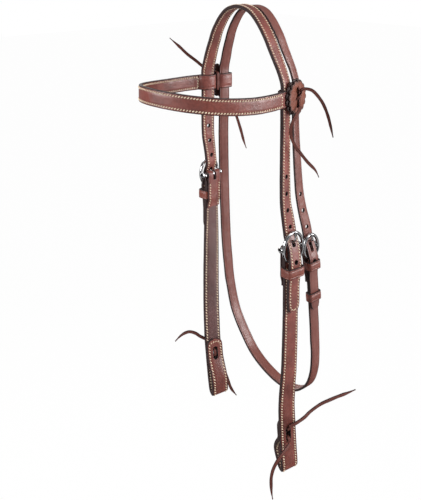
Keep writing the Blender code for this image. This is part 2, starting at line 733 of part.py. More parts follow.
def make_keeper(name, line, stack, z, height, inner_s, clearance, bar_z, origin=None):
    """Loop of one ply round the strap and the billet, hugging the narrower billet's outer face."""
    frame = line.rigid(z)
    top = max(stack.billet_at(bar_z, z + 0.5 * height), stack.billet_at(bar_z, z - 0.5 * height))
    half = 0.5 * stack.width + clearance
    inner = (-half, inner_s, half, top + 0.5 * stack.billet + clearance)
    work = ring_skin(frame, inner, KEEPER_PLY, height, KEEPER_CORNER)
    return mesh_object(name, work, FINISH["leather"], origin)


def rim_point(stack, turn):
    """Middle of the rim at an angle: 0 to the rear, a quarter turn up."""
    half = 0.5 * stack.width + RIM_OUTSIDE_STRAP
    tall = stack.arch if sin(turn) > 0 else stack.lower
    return half * cos(turn), tall * sin(turn)


def make_frame(name, line, stack, bar_z):
    """Cast frame: a deep arch that thins towards the keeper end, with an ear at each end of the bar."""
    place = line.rigid(bar_z)
    rings = []
    for k in range(RING_STEPS):
        turn = 2 * pi * k / RING_STEPS
        u, z = rim_point(stack, turn)
        ahead = rim_point(stack, turn + pi / RING_STEPS)
        behind = rim_point(stack, turn - pi / RING_STEPS)
        along = Vector((ahead[0] - behind[0], 0.0, ahead[1] - behind[1])).normalized()
        outward = Vector((along.z, 0.0, -along.x))
        share = 0.5 + 0.5 * sin(turn)
        depth = LOWER_DEPTH + (ARCH_DEPTH - LOWER_DEPTH) * share
        width = RIM_WIDTH * (0.72 + 0.28 * share)
        middle = stack.lower_s + (stack.arch_s - stack.lower_s) * share
        ring = []
        for m in range(8):
            a = 2 * pi * (m + 0.5) / 8
            flat = Vector((0.0, 0.5 * depth * sin(a) / cos(pi / 8), 0.0))
            sideways = outward * (0.5 * width * cos(a) / cos(pi / 8))
            ring.append(place @ (Vector((u, middle, z)) + sideways + flat))
        rings.append(ring)
    pivot = place @ Vector((0.0, stack.bar_s, 0.0))
    frame = mesh_object(name, sweep(rings, closed=True), FINISH["steel"], pivot)
    for end, side in (("front", -1), ("rear", 1)):
        boolean(frame, ear(f"{name}_ear_{end}", place, stack, side), "UNION")
    return frame


def ear(name, place, stack, side):
    """Rounded lug that carries one end of the bar behind the rim."""
    inner = 0.5 * stack.width + EAR_CLEARANCE
    outer = 0.5 * stack.width + RIM_OUTSIDE_STRAP + 0.42 * RIM_WIDTH
    back = stack.bar_s - BAR_RADIUS - TONGUE_EYE
    front = stack.lower_s + 0.5 * LOWER_DEPTH
    middle, reach = 0.5 * (back + front), 0.5 * (front - back)
    rings = []
    for u, share in ((inner, 0.80), (inner + 0.12 * (outer - inner), 1.0), (0.5 * (inner + outer), 1.0),
                     (outer - 0.15 * (outer - inner), 0.92), (outer, 0.6)):
        ring = []
        for m in range(10):
            a = 2 * pi * m / 10
            point = Vector((side * u, middle + reach * share * cos(a), EAR_RADIUS * share * sin(a)))
            ring.append(place @ point)
        rings.append(ring)
    return cutter(name, sweep(rings))


def make_bar(name, line, stack, bar_z):
    """The pin that the folded strap and the tongue turn on."""
    place = line.rigid(bar_z)
    half = 0.5 * stack.width + EAR_CLEARANCE - GAP
    rings = []
    for u in (-half, half):
        ring = []
        for m in range(HOLE_SIDES):
            a = 2 * pi * m / HOLE_SIDES
            ring.append(place @ Vector((u, stack.bar_s + BAR_RADIUS * cos(a), BAR_RADIUS * sin(a))))
        rings.append(ring)
    return mesh_object(name, sweep(rings), FINISH["steel"], place @ Vector((0.0, stack.bar_s, 0.0)))


def make_tongue(name, line, stack, bar_z):
    """Tongue: an eye round the bar and a tapered point that rests on the arch."""
    place = line.rigid(bar_z)
    eye_in = BAR_RADIUS + GAP
    eye_out = eye_in + TONGUE_EYE
    rest_s = stack.arch_s + 0.5 * ARCH_DEPTH + GAP + 0.5 * TONGUE_THICKNESS
    work = bmesh.new()
    steps = 14
    half = 0.5 * TONGUE_WIDTH
    loops = []
    for k in range(steps):
        a = 2 * pi * k / steps
        loop = []
        for u, radius in ((-half, eye_in), (half, eye_in), (half, eye_out), (-half, eye_out)):
            point = Vector((u, stack.bar_s + radius * cos(a), radius * sin(a)))
            loop.append(work.verts.new(place @ point))
        loops.append(loop)
    for k in range(steps):
        one, two = loops[k], loops[(k + 1) % steps]
        for m in range(4):
            n = (m + 1) % 4
            work.faces.new((one[m], one[n], two[n], two[m]))
    tongue = mesh_object(name, work, FINISH["steel"], place @ Vector((0.0, stack.bar_s, 0.0)))
    hole_s = stack.billet_at(bar_z, bar_z + TONGUE_HOLE)
    root = eye_in + 0.5 * TONGUE_EYE
    path = [
        (stack.bar_s + root * cos(0.28 * pi), root * sin(0.28 * pi), 1.0),
        (hole_s - 0.62 * stack.billet, TONGUE_HOLE - 0.30 * TONGUE_HOLE_LENGTH, 1.0),
        (hole_s, TONGUE_HOLE, 0.95),
        (hole_s + 0.62 * stack.billet, TONGUE_HOLE + 0.32 * TONGUE_HOLE_LENGTH, 0.9),
        (rest_s - 0.1 * TONGUE_THICKNESS, TONGUE_HOLE + 0.5 * (stack.arch - TONGUE_HOLE), 0.85),
        (rest_s, stack.arch - 0.5 * RIM_WIDTH, 0.8),
        (rest_s, stack.arch + TONGUE_PAST_RIM, 0.62),
    ]
    stations = []
    across = (place.to_3x3() @ Vector((1.0, 0.0, 0.0))).normalized()
    for s, z, share in path:
        centre = place @ Vector((0.0, s, z))
        stations.append((centre, across, TONGUE_WIDTH * share, TONGUE_THICKNESS * share))
    boolean(tongue, cutter(name + "_point", sweep(strap_rings(stations))), "UNION")
    return tongue


def band_side_path(throat_stack):
    """Plain ply round both straps on one side as (rearward, outward) points, inner end first."""
    half_crown = 0.5 * CROWN_WIDTH
    over_crown = 0.5 * DOUBLED + LACE_CLEARANCE + 0.5 * PLY
    over_throat = 0.5 * throat_stack.wrap + LACE_CLEARANCE + 0.5 * PLY
    front = 0.5 * THROAT_SPACING + 0.5 * (half_crown - 0.5 * THROAT_WIDTH)
    pinch = 0.5 * (PLY + GAP)
    throat_front = THROAT_SPACING - 0.5 * THROAT_WIDTH
    throat_rear = THROAT_SPACING + 0.5 * THROAT_WIDTH
    seam = -half_crown - BAND_SEAM
    inner = [
        (seam, over_crown - 1.08 * PLY),
        (seam + 0.32 * BAND_SEAM, 0.1 * PLY),
        (seam + 0.64 * BAND_SEAM, -0.72 * over_crown),
        (seam + 1.05 * BAND_SEAM, -over_crown - 0.02 * PLY),
        (half_crown - 0.1 * PLY, -over_crown),
        (front - 0.5 * LACE_WIDTH, -pinch),
        (front + 0.5 * LACE_WIDTH, -pinch),
        (throat_front + 0.1 * PLY, -over_throat),
        (throat_rear, -over_throat),
    ]
    bends = (0.25 * pi, 0.5 * pi, 0.75 * pi)
    turn = [(throat_rear + over_throat * sin(a), -over_throat * cos(a)) for a in bends]
    outer = [
        (throat_rear, over_throat),
        (throat_front + 0.1 * PLY, over_throat),
        (front + 0.5 * LACE_WIDTH, pinch),
        (front - 0.5 * LACE_WIDTH, pinch),
        (half_crown - 0.1 * PLY, over_crown),
        (seam + 1.2 * BAND_SEAM, over_crown),
    ]
    return inner + turn + outer, front, over_crown, seam


def make_browband(lines, throat_stack):
    """Sewn band round the forehead, whose plain ends fold round the crown and the throat latch."""
    path, _, over_crown, seam = band_side_path(throat_stack)
    outer_face = over_crown + 0.5 * PLY
    stations = []
    up = Vector((0.0, 0.0, 1.0))
    near, off = lines
    for u, s in path:
        stations.append((near.place(u, s, BAND_Z), up, BAND_HEIGHT, PLY))
    joint = near.place(seam, outer_face - 0.5 * DOUBLED, BAND_Z)
    start = asin((BAND_CENTRE_Y - joint.y) / BAND_REACH)
    half_width = joint.x / cos(start)
    steps = 30
    stations.append((near.place(seam + 0.45 * BAND_SEAM, over_crown, BAND_Z), up, BAND_HEIGHT, PLY))
    for k in range(steps + 1):
        turn = start + (pi - 2 * start) * k / steps
        raise_share = max(0.0, sin(turn)) ** 2
        y = BAND_CENTRE_Y - BAND_REACH * sin(turn)
        centre = Vector((half_width * cos(turn), y, BAND_Z + BAND_RAISE * raise_share))
        stations.append((centre, up, BAND_HEIGHT, DOUBLED))
    stations.append((off.place(seam + 0.45 * BAND_SEAM, over_crown, BAND_Z), up, BAND_HEIGHT, PLY))
    for u, s in reversed(path):
        stations.append((off.place(u, s, BAND_Z), up, BAND_HEIGHT, PLY))
    band = mesh_object("browband", sweep(strap_rings(stations)), FINISH["leather"])
    return band


def rosette_frame(line, throat_stack):
    _, pinch_u, _, _ = band_side_path(throat_stack)
    across, out, down = line.axes(BAND_Z)
    frame = Matrix((across, out, -down)).transposed().to_4x4()
    frame.translation = line.place(pinch_u, 0.0, BAND_Z)
    return frame


def rosette_layers(over_crown):
    """Outward places of the back and the front of both discs."""
    back = over_crown + 0.5 * PLY + GAP
    front = back + ROSETTE_THICKNESS + GAP
    return back, front


def make_rosette(name, frame, radius, low, turn, finish):
    """Scalloped disc with two slots for the lace."""
    outline = []
    count = SCALLOPS * SCALLOP_POINTS
    for k in range(count):
        a = 2 * pi * k / count + turn
        lobe = abs(sin(0.5 * SCALLOPS * (a - turn)))
        r = radius - SCALLOP_DEPTH * 2 * (1 - lobe) ** 1.4
        outline.append((r * cos(a), r * sin(a)))
    disc = mesh_object(name, prism(frame, outline, low, low + ROSETTE_THICKNESS), FINISH[finish])
    slot_half_u = 0.5 * LACE_WIDTH + LACE_CLEARANCE
    slot_half_z = 0.5 * LACE_THICKNESS + LACE_CLEARANCE
    middle = lace_height()
    for side in (-1, 1):
        corners = [(-slot_half_u, -slot_half_z), (slot_half_u, -slot_half_z),
                   (slot_half_u, slot_half_z), (-slot_half_u, slot_half_z)]
        outline = [(u, side * middle + z) for u, z in corners]
        place = "upper" if side > 0 else "lower"
        block = prism(frame, outline, low - CUT_PAST, low + ROSETTE_THICKNESS + CUT_PAST)
        boolean(disc, cutter(f"{name}_slot_{place}", block))
    return disc


def lace_height():
    """Height of the rosette lace above the middle of the browband."""
    return 0.5 * BAND_HEIGHT + LACE_CLEARANCE + 0.5 * LACE_THICKNESS


def make_rosette_lace(name, frame, front):
    """Lace that pinches the band between the straps and holds both discs."""
    inner_s = -(0.5 * GAP + PLY + LACE_CLEARANCE + 0.5 * LACE_THICKNESS)
    outer_s = front + ROSETTE_THICKNESS + LACE_CLEARANCE + 0.5 * LACE_THICKNESS
    tall = lace_height()
    corners = (
        (outer_s, tall, 0.0), (inner_s, tall, 0.5 * pi), (inner_s, -tall, pi), (outer_s, -tall, 1.5 * pi),
    )
    rings = []
    for s, z, start in corners:
        cs = s - LACE_CORNER if s == outer_s else s + LACE_CORNER
        cz = z - LACE_CORNER if z > 0 else z + LACE_CORNER
        for k in range(4):
            a = start + 0.5 * pi * k / 3
            ring = []
            for u, radius in ((-0.5, -0.5), (0.5, -0.5), (0.5, 0.5), (-0.5, 0.5)):
                r = LACE_CORNER + radius * LACE_THICKNESS
                ring.append(frame @ Vector((u * LACE_WIDTH, cs + r * cos(a), cz + r * sin(a))))
            rings.append(ring)
    return mesh_object(name, sweep(rings, closed=True), FINISH["lace"])


def make_loop_tie(name, line, bottom):
    """Lace through both plies of a bit loop: its bend inside, both ends flat on the outer face."""
    frame = line.rigid(bottom + TIE_HEIGHT)
    outer = 0.5 * DOUBLED + GAP + 0.5 * LACE_THICKNESS
    inner = -(1.1 * DOUBLED + GAP)
    rise = 0.5 * TIE_SLOT_LENGTH
    leg = rise - LACE_THICKNESS
    half = [
        (inner, 0.30 * leg), (inner + 0.20 * DOUBLED, 0.64 * leg), (inner + 0.60 * DOUBLED, 0.76 * leg),
        (0.0, 0.80 * leg), (outer - 0.55 * LACE_THICKNESS, 0.92 * leg),
        (outer, 1.25 * leg), (outer, 1.55 * leg),
    ]
    path = [(s, -z) for s, z in reversed(half)] + half
    across = (frame.to_3x3() @ Vector((1.0, 0.0, 0.0))).normalized()
    stations = [(frame @ Vector((0.0, s, z)), across, LACE_WIDTH, LACE_THICKNESS) for s, z in path]
    return mesh_object(name, sweep(strap_rings(stations)), FINISH["lace"])


def make_tail(name, route):
    """A free lace end as a round cord along a smooth curve through its route."""
    points = smooth_points([Vector(point) for point in route], 12)
    step = CORD_STEP_DIAMETERS * 2 * TAIL_RADIUS
    total = sum((b - a).length for a, b in zip(points, points[1:]))
    count = max(2, round(total / step))
    kept = [points[0]]
    travelled, wanted = 0.0, total / count
    for a, b in zip(points, points[1:]):
        travelled += (b - a).length
        if travelled >= wanted - GAP and len(kept) < count:
            kept.append(b)
            wanted += total / count
    kept.append(points[-1])
    curve = bpy.data.curves.new(name, "CURVE")
    curve.dimensions = "3D"
    curve.bevel_depth = TAIL_RADIUS
    curve.bevel_resolution = 2
    curve.resolution_u = 1
    curve.render_resolution_u = 0
    curve.use_fill_caps = True
    line = curve.splines.new("POLY")
    line.points.add(len(kept) - 1)
    for slot, point in zip(line.points, kept):
        slot.co = (*point, 1.0)
    return link(name, curve, FINISH["lace"])


FINISH = {}


def main():
    clear_scene()
    FINISH["leather"] = material("leather", (0.23, 0.085, 0.065), 0.42)
    FINISH["edge"] = material("dark_leather", (0.05, 0.018, 0.014), 0.5)
    FINISH["lace"] = material("lace", (0.20, 0.075, 0.06), 0.5)
    FINISH["steel"] = material("steel", (0.72, 0.72, 0.72), 0.18, 1.0)

    near = side_line(1, NEAR_BAR_Z, NEAR_DROP)
    off = side_line(-1, OFF_BAR_Z, OFF_DROP)
    near_throat = throat_line(1, near, NEAR_THROAT, THROAT_BAR_Z)
    off_throat = throat_line(-1, off, OFF_THROAT, BAND_Z)
    cheek_stack = Stack(CHEEK_WIDTH, DOUBLED, PLY, DOUBLED, CHEEK_ARCH, CHEEK_LOWER)
    throat_stack = Stack(THROAT_WIDTH, THROAT_PLY, THROAT_PLY, THROAT_PLY, THROAT_ARCH, THROAT_LOWER)

    make_crown((near, off), cheek_stack)
    make_cheek("cheek_near", near, cheek_stack, NEAR_BAR_Z, NEAR_LOOP_GAP)
    make_cheek("cheek_off", off, cheek_stack, OFF_BAR_Z, OFF_LOOP_GAP)
    make_throat_latch((near_throat, off_throat), throat_stack)
    make_browband((near, off), throat_stack)

    buckles = (
        ("near", near, cheek_stack, NEAR_BAR_Z),
        ("off", off, cheek_stack, OFF_BAR_Z),
        ("throat", near_throat, throat_stack, THROAT_BAR_Z),
    )
    for name, line, stack, bar_z in buckles:
        make_frame(f"buckle_frame_{name}", line, stack, bar_z)
        make_bar(f"buckle_bar_{name}", line, stack, bar_z)
        make_tongue(f"buckle_tongue_{name}", line, stack, bar_z)

    for name, line, bar_z in (("near", near, NEAR_BAR_Z), ("off", off, OFF_BAR_Z)):
        z = bar_z - CHEEK_KEEPER_DROP
        inner = -cheek_stack.face - GAP
        make_keeper(f"keeper_{name}", line, cheek_stack, z, KEEPER_HEIGHT, inner, GAP, bar_z)
    z = THROAT_BAR_Z - THROAT_KEEPER_DROP
    inner = -throat_stack.face - GAP
    make_keeper("keeper_throat_fixed", near_throat, throat_stack, z, THROAT_KEEPER_HEIGHT, inner, GAP,
                THROAT_BAR_Z)
    z = THROAT_BAR_Z - LOOSE_KEEPER_DROP
    inner = -throat_stack.face - LOOSE_KEEPER_CLEARANCE
    make_keeper("keeper_throat_loose", near_throat, throat_stack, z, THROAT_KEEPER_HEIGHT, inner,
                LOOSE_KEEPER_CLEARANCE, THROAT_BAR_Z, near_throat.centre(z))

    over_crown = band_side_path(throat_stack)[2]
    back, front = rosette_layers(over_crown)
    for name, line in (("near", near), ("off", off)):
        frame = rosette_frame(line, throat_stack)
        make_rosette(f"rosette_back_{name}", frame, ROSETTE_BACK_RADIUS, back, 0.0, "edge")
        make_rosette(f"rosette_front_{name}", frame, ROSETTE_RADIUS, front, ROSETTE_TURN, "leather")
        make_rosette_lace(f"rosette_lace_{name}", frame, front)

    for name, line, bar_z in (("near", near, NEAR_BAR_Z), ("off", off, OFF_BAR_Z)):
        make_loop_tie(f"loop_tie_{name}", line, bar_z - CHEEK_LENGTH)

    for name, route in TAIL_ROUTES.items():
        make_tail(name, route)


main()
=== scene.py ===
# Western headstall: leather, thread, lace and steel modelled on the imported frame
import json
from bisect import bisect_right
from math import asin, cos, dist, pi, radians, sin

import bpy
import bmesh
from mathutils import Matrix, Vector, noise

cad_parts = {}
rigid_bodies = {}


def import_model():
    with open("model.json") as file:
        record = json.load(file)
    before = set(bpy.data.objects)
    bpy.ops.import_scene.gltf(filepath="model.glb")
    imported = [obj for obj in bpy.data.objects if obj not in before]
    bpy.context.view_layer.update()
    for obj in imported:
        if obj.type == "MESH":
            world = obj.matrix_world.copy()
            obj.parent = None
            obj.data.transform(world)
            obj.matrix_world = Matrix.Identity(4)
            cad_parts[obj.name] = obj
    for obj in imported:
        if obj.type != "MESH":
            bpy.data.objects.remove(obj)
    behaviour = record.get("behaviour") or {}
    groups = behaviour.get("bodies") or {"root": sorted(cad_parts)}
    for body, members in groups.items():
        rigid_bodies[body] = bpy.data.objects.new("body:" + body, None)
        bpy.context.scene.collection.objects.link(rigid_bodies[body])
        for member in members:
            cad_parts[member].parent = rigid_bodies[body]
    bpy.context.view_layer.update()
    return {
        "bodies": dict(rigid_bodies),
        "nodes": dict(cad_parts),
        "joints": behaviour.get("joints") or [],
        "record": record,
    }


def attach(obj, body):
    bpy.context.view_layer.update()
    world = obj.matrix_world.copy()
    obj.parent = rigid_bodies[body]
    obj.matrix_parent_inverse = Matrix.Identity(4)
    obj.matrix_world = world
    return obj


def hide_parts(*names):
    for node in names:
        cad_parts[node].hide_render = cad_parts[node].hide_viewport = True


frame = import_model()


def metres(*rows):
    """Rows of whole tenths of a millimetre."""
    return [tuple(value / 10000 for value in row) for row in rows]


def line_knots(*rows):
    """Rows of whole tenths of a millimetre, each with a turn in degrees at its end."""
    return [(*lengths, radians(row[-1])) for row, lengths in zip(rows, metres(*(row[:-1] for row in rows)))]


# Driving sizes, the same as the solids have
CHEEK_WIDTH = 0.0200
CROWN_WIDTH = 0.0165
THROAT_WIDTH = 0.0135
BAND_HEIGHT = 0.0180
PLY = 0.0020
DOUBLED = 2 * PLY
THROAT_PLY = 0.0025
GAP = 0.0003
BAND_Z = -0.0955
NEAR_BAR_Z = -0.2610
OFF_BAR_Z = -0.2105
THROAT_BAR_Z = -0.2680
CHEEK_LENGTH = 0.2620
HOLE_RADIUS = 0.0022
HOLE_PITCH = 0.0186
CROWN_HOLES = 6
THROAT_HOLES = 5
TIP_TO_HOLE = 0.0545
CROWN_PAST_BAR = 0.0685
THROAT_PAST_BAR = 0.0690
TONGUE_HOLE = 0.0052
TONGUE_HOLE_LENGTH = 0.0066
TIP_LENGTH = 0.0110

CROWN_X = 0.0670
CROWN_Y = -0.0032
BAND_TURN = radians(14)
ARCH_LEAN = -0.0070
CHEEK_X = 0.0685
CHEEK_Y = 0.0034
BAR_TURN = radians(-4)
ARCH_OUT_SHARES = (0.0, 0.15, 0.29, 0.44, 0.57, 0.68, 0.77, 0.86, 0.94, 1.0)
ARCH_DOWN_SHARES = (0.0, 0.015, 0.055, 0.150, 0.275, 0.410, 0.560, 0.710, 0.860, 1.0)
NEAR_DROP = line_knots(
    (700, 683, 34, -5), (1350, 640, 55, -8), (1750, 600, 60, -12), (2080, 567, 105, -16), (2620, 520, 190, -16),
)
OFF_DROP = line_knots(
    (800, 680, 30, 8), (1350, 640, -6, 14), (1750, 600, -30, 16), (2080, 570, -32, 16), (2620, 520, -5, 16),
)
THROAT_SPACING = 0.0225
THROAT_ARCH_Y = 0.0130
NEAR_THROAT = line_knots(
    (1135, 625, 192, 10), (565, 650, 225, 4), (215, 686, 292, -4), (0, 698, 320, -4),
    (-335, 712, 345, -4), (-835, 722, 378, -4), (-1235, 715, 405, 0),
)
OFF_THROAT = line_knots(
    (-590, 645, 200, 12), (-1160, 720, 272, 12), (-1800, 715, 292, 10), (-2110, 700, 300, 8), (-2510, 668, 321, 4),
)
THROAT_UNDER = metres(
    (-590, 360, -2910), (-390, 400, -3245), (-230, 410, -3385), (-10, 420, -3485),
    (220, 420, -3520), (440, 420, -3480), (610, 420, -3340), (690, 415, -3150),
)
BAR_RADIUS = 0.0018
CHEEK_ARCH = 0.0180
CHEEK_LOWER = 0.0150
THROAT_ARCH = 0.0150
THROAT_LOWER = 0.0112
RIM_WIDTH = 0.0034
ARCH_DEPTH = 0.0040
LOWER_DEPTH = 0.0024
RIM_OUTSIDE_STRAP = 0.0040
EAR_RADIUS = 0.0032
EAR_CLEARANCE = 0.0006
FRAME_PLAY = 0.0006
TONGUE_WIDTH = 0.0028
TONGUE_THICKNESS = 0.0019
TONGUE_EYE = 0.0012
TONGUE_SLOT_CLEARANCE = 0.0008
TONGUE_PAST_RIM = 0.0022
KEEPER_HEIGHT = 0.0104
KEEPER_PLY = 0.0016
CHEEK_KEEPER_DROP = 0.0244
THROAT_KEEPER_HEIGHT = 0.0095
THROAT_KEEPER_DROP = 0.0186
LOOSE_KEEPER_DROP = 0.0545
LOOSE_KEEPER_CLEARANCE = 0.0005
KEEPER_CORNER = 0.0014
FOLD_BACK = 0.0400
THROAT_FOLD_BACK = 0.0380
LOOP_LENGTH = 0.0640
LOOP_BOTTOM_GAP = 0.0058
NEAR_LOOP_GAP = 0.0120
OFF_LOOP_GAP = 0.0078
LOOP_CLOSED = 0.0380
LOOP_SHARES = (
    (0.14, -1, 0.42), (0.32, 1, 0.0), (0.50, 1, 0.16), (0.66, 1, 0.46), (0.82, 1, 0.80), (0.95, 1, 1.0),
)
TIE_HEIGHT = 0.0480
TIE_SLOT_LENGTH = 0.0150
TIE_SLOT_WIDTH = 0.0056
BAND_REACH = 0.0950
BAND_CENTRE_Y = -0.0400
BAND_RAISE = 0.0096
BAND_SEAM = 0.0042
ROSETTE_RADIUS = 0.0192
ROSETTE_BACK_RADIUS = 0.0208
ROSETTE_THICKNESS = 0.0021
SCALLOPS = 16
SCALLOP_DEPTH = 0.0011
LACE_WIDTH = 0.0036
LACE_THICKNESS = 0.0016
LACE_CORNER = 0.0012
LACE_CLEARANCE = 0.0005
ROSETTE_TURN = radians(6)
LACE_HEIGHT = 0.5 * BAND_HEIGHT + LACE_CLEARANCE + 0.5 * LACE_THICKNESS
ARCH_FOOT = BAND_Z + 0.9 * BAND_HEIGHT
LOOP_TIP = 0.4 * CHEEK_WIDTH
REAR = Vector((0.0, 1.0, 0.0))
UP = Vector((0.0, 0.0, 1.0))

# Finish of the straps
STEP = 0.0022                # ring spacing along a strap
BAND_STEP = 0.0020
KEEPER_STEP = 0.0012
LACE_STEP = 0.0010
TAIL_STEP = 0.0016
TONGUE_STEP = 0.0008
COARSE_STEP = 0.07 * CHEEK_LENGTH
RIM_STEPS = 120
BAND_STEPS = 60
CORNER = 0.0009              # rounding of the strap edges
GROOVE_INSET = 0.0026        # strap edge to stitch groove
GROOVE_HALF = 0.0005
GROOVE_DEPTH = 0.00022
THROAT_INSET = 0.0017
KEEPER_INSET = 0.0019
SEAM_DEPTH = 0.00022         # line between the plies on a strap's edge
DOME = 0.00012
WAVER = 0.00012              # unevenness of a cut strap
KEEPER_WAVER = 0.00008
LACE_WAVER = 0.00010
KEEPER_ROUNDING = 0.0006
ROW_STEP = 0.0008
STITCH_PITCH = 0.0032
STITCH_LENGTH = 0.0030
STITCH_RADIUS = 0.00060
STITCH_SLANT = radians(42)
BELOW_BOW = 0.0045           # outer stitch rows start this far below a frame's lower bow, clear of its rocking
BELOW_BAR = 0.0085           # the fold's stitch rows end this far below the bar
BELOW_KEEPER = 0.0075
SEAM_END = 0.0015            # stitch rows end this far from a seam
ROW_END = 0.001              # and this far from a strap's end
THROAT_ROW_END = 0.002
LIFT = 0.0003                # thread above the floor of its groove
CUT_PAST = 0.0030
ROSETTE_SWELL = 0.00022
TAIL_WIDTH = 0.0036
TAIL_THICKNESS = 0.0015
TAIL_TAPER = 0.016
KNOT_WIDTH = 0.0030
KNOT_THICKNESS = 0.0013
BEVEL = 0.0003               # of the bars' ends and the tongues' eyes
TONGUE_POINT = ((0.0012, 0.70), (0.0004, 0.60), (0.0, 0.42))   # (below the tip, share of the full size)
ACROSS_NOISE = 90.0          # scales of the unevenness, per metre
THROUGH_NOISE = 60.0
DISC_NOISE = 140.0
TAIL_NOISE = 110.0

# Free lace ends, from the knot to the tip, as in the solids
TAIL_ROUTES = {
    "rosette_tail_near_upper": metres(
        (767, 102, -882), (812, 112, -850), (880, 180, -870), (905, 280, -975),
        (910, 350, -1075), (905, 410, -1185), (895, 460, -1295), (875, 530, -1445),
    ),
    "rosette_tail_near_lower": metres(
        (775, 100, -1045), (795, 40, -1105), (785, -40, -1205), (780, -55, -1335), (785, 10, -1475),
        (795, 80, -1555), (800, 180, -1665), (810, 300, -1780), (820, 350, -1870),
    ),
    "rosette_tail_off_upper": metres(
        (-772, 108, -875), (-800, 30, -815), (-840, -80, -715),
        (-875, -190, -625), (-910, -300, -515), (-950, -410, -410),
    ),
    "rosette_tail_off_lower": metres(
        (-770, 106, -1042), (-800, 220, -1145), (-805, 400, -1295), (-800, 530, -1450),
        (-790, 610, -1650), (-800, 680, -1830), (-800, 730, -1950),
    ),
    "loop_tail_near_upper": metres(
        (612, 90, -4645), (642, 165, -4628), (665, 275, -4603), (675, 370, -4570), (705, 505, -4532),
        (735, 630, -4523), (765, 755, -4518), (795, 880, -4519), (820, 995, -4516),
    ),
    "loop_tail_near_lower": metres(
        (598, 110, -4862), (603, 40, -4888), (600, -30, -4925), (590, -90, -4975), (580, -130, -5035),
        (572, -150, -5110), (570, -152, -5190), (570, -145, -5280), (572, -130, -5364),
    ),
    "loop_tail_off_upper": metres(
        (-611, -22, -4138), (-642, -88, -4108), (-652, -170, -4050), (-640, -250, -3980),
        (-640, -337, -3930), (-635, -420, -3915), (-630, -495, -3925), (-620, -570, -3950),
    ),
    "loop_tail_off_lower": metres(
        (-608, -28, -4349), (-625, 60, -4440), (-635, 150, -4540), (-635, 225, -4655),
        (-640, 271, -4760), (-660, 339, -4899), (-680, 447, -5043),
    ),
}
# The free ends lie flat, facing front and right; the one at the top of the near rosette has twisted on edge
TAIL_FACE = Vector((0.738, -0.674, 0.0))
ON_EDGE = {"rosette_tail_near_upper": ((0.3, 0.2, 0.95), (0.85, -0.2, 0.3))}

# Camera, fitted to the photograph
IMAGE = (421, 500)
CAMERA_TURN = radians(47.6)
CAMERA_DISTANCE = 0.832
CAMERA_HEIGHT = 0.0677
FOCAL_PIXELS = 710.3
CENTRE_PIXEL = (246.3, -50.3)
SENSOR = 36.0

# Lamps as (name, place, size, power), and the height that they aim at
LAMPS = (
    ("key", (1.15, 0.75, 0.10), 1.0, 20.0),
    ("rim", (-1.30, 0.40, 0.20), 0.7, 12.0),
    ("front", (-0.45, -1.45, 0.20), 0.6, 18.0),
    ("top", (0.3, -0.2, 1.3), 0.7, 6.0),
)
LAMP_AIM = -0.25
WORLD_LIGHT = 0.30           # the world's strength, except to the camera
FLOOR_GLOW = 0.98            # share of plain white in the floor that the camera sees
FLOOR_Z = -1.15
FLOOR_HALF = 9
# Black cards that only reflections see: they draw the dark lines in the steel and the waxed edges
CARDS = {
    "card_left": ((-1.4, -0.3), (-0.85, -1.15)),
    "card_right": ((0.75, -1.10), (1.35, -0.15)),
    "card_behind": ((-0.9, 1.2), (0.35, 1.3)),
}
CARD_HEIGHTS = (-1.0, 0.9)
LOW_CARD_Z = -1.1
LOW_CARD_HALF = 1.0
WHITE = (1.0, 1.0, 1.0, 1.0)


def add_object(name, data):
    item = bpy.data.objects.new(name, data)
    bpy.context.scene.collection.objects.link(item)
    return item


def camera():
    data = bpy.data.cameras.new("camera")
    data.sensor_fit = "HORIZONTAL"
    data.sensor_width = SENSOR
    data.lens = FOCAL_PIXELS / IMAGE[0] * SENSOR
    data.shift_x = (0.5 * IMAGE[0] - CENTRE_PIXEL[0]) / IMAGE[0]
    data.shift_y = (CENTRE_PIXEL[1] - 0.5 * IMAGE[1]) / IMAGE[0]
    data.clip_start = 0.05
    item = add_object("camera", data)
    back = Vector((sin(CAMERA_TURN), -cos(CAMERA_TURN), 0.0))
    item.location = back * CAMERA_DISTANCE + Vector((0.0, 0.0, CAMERA_HEIGHT))
    item.rotation_euler = (0.5 * pi, 0.0, CAMERA_TURN)
    bpy.context.scene.camera = item


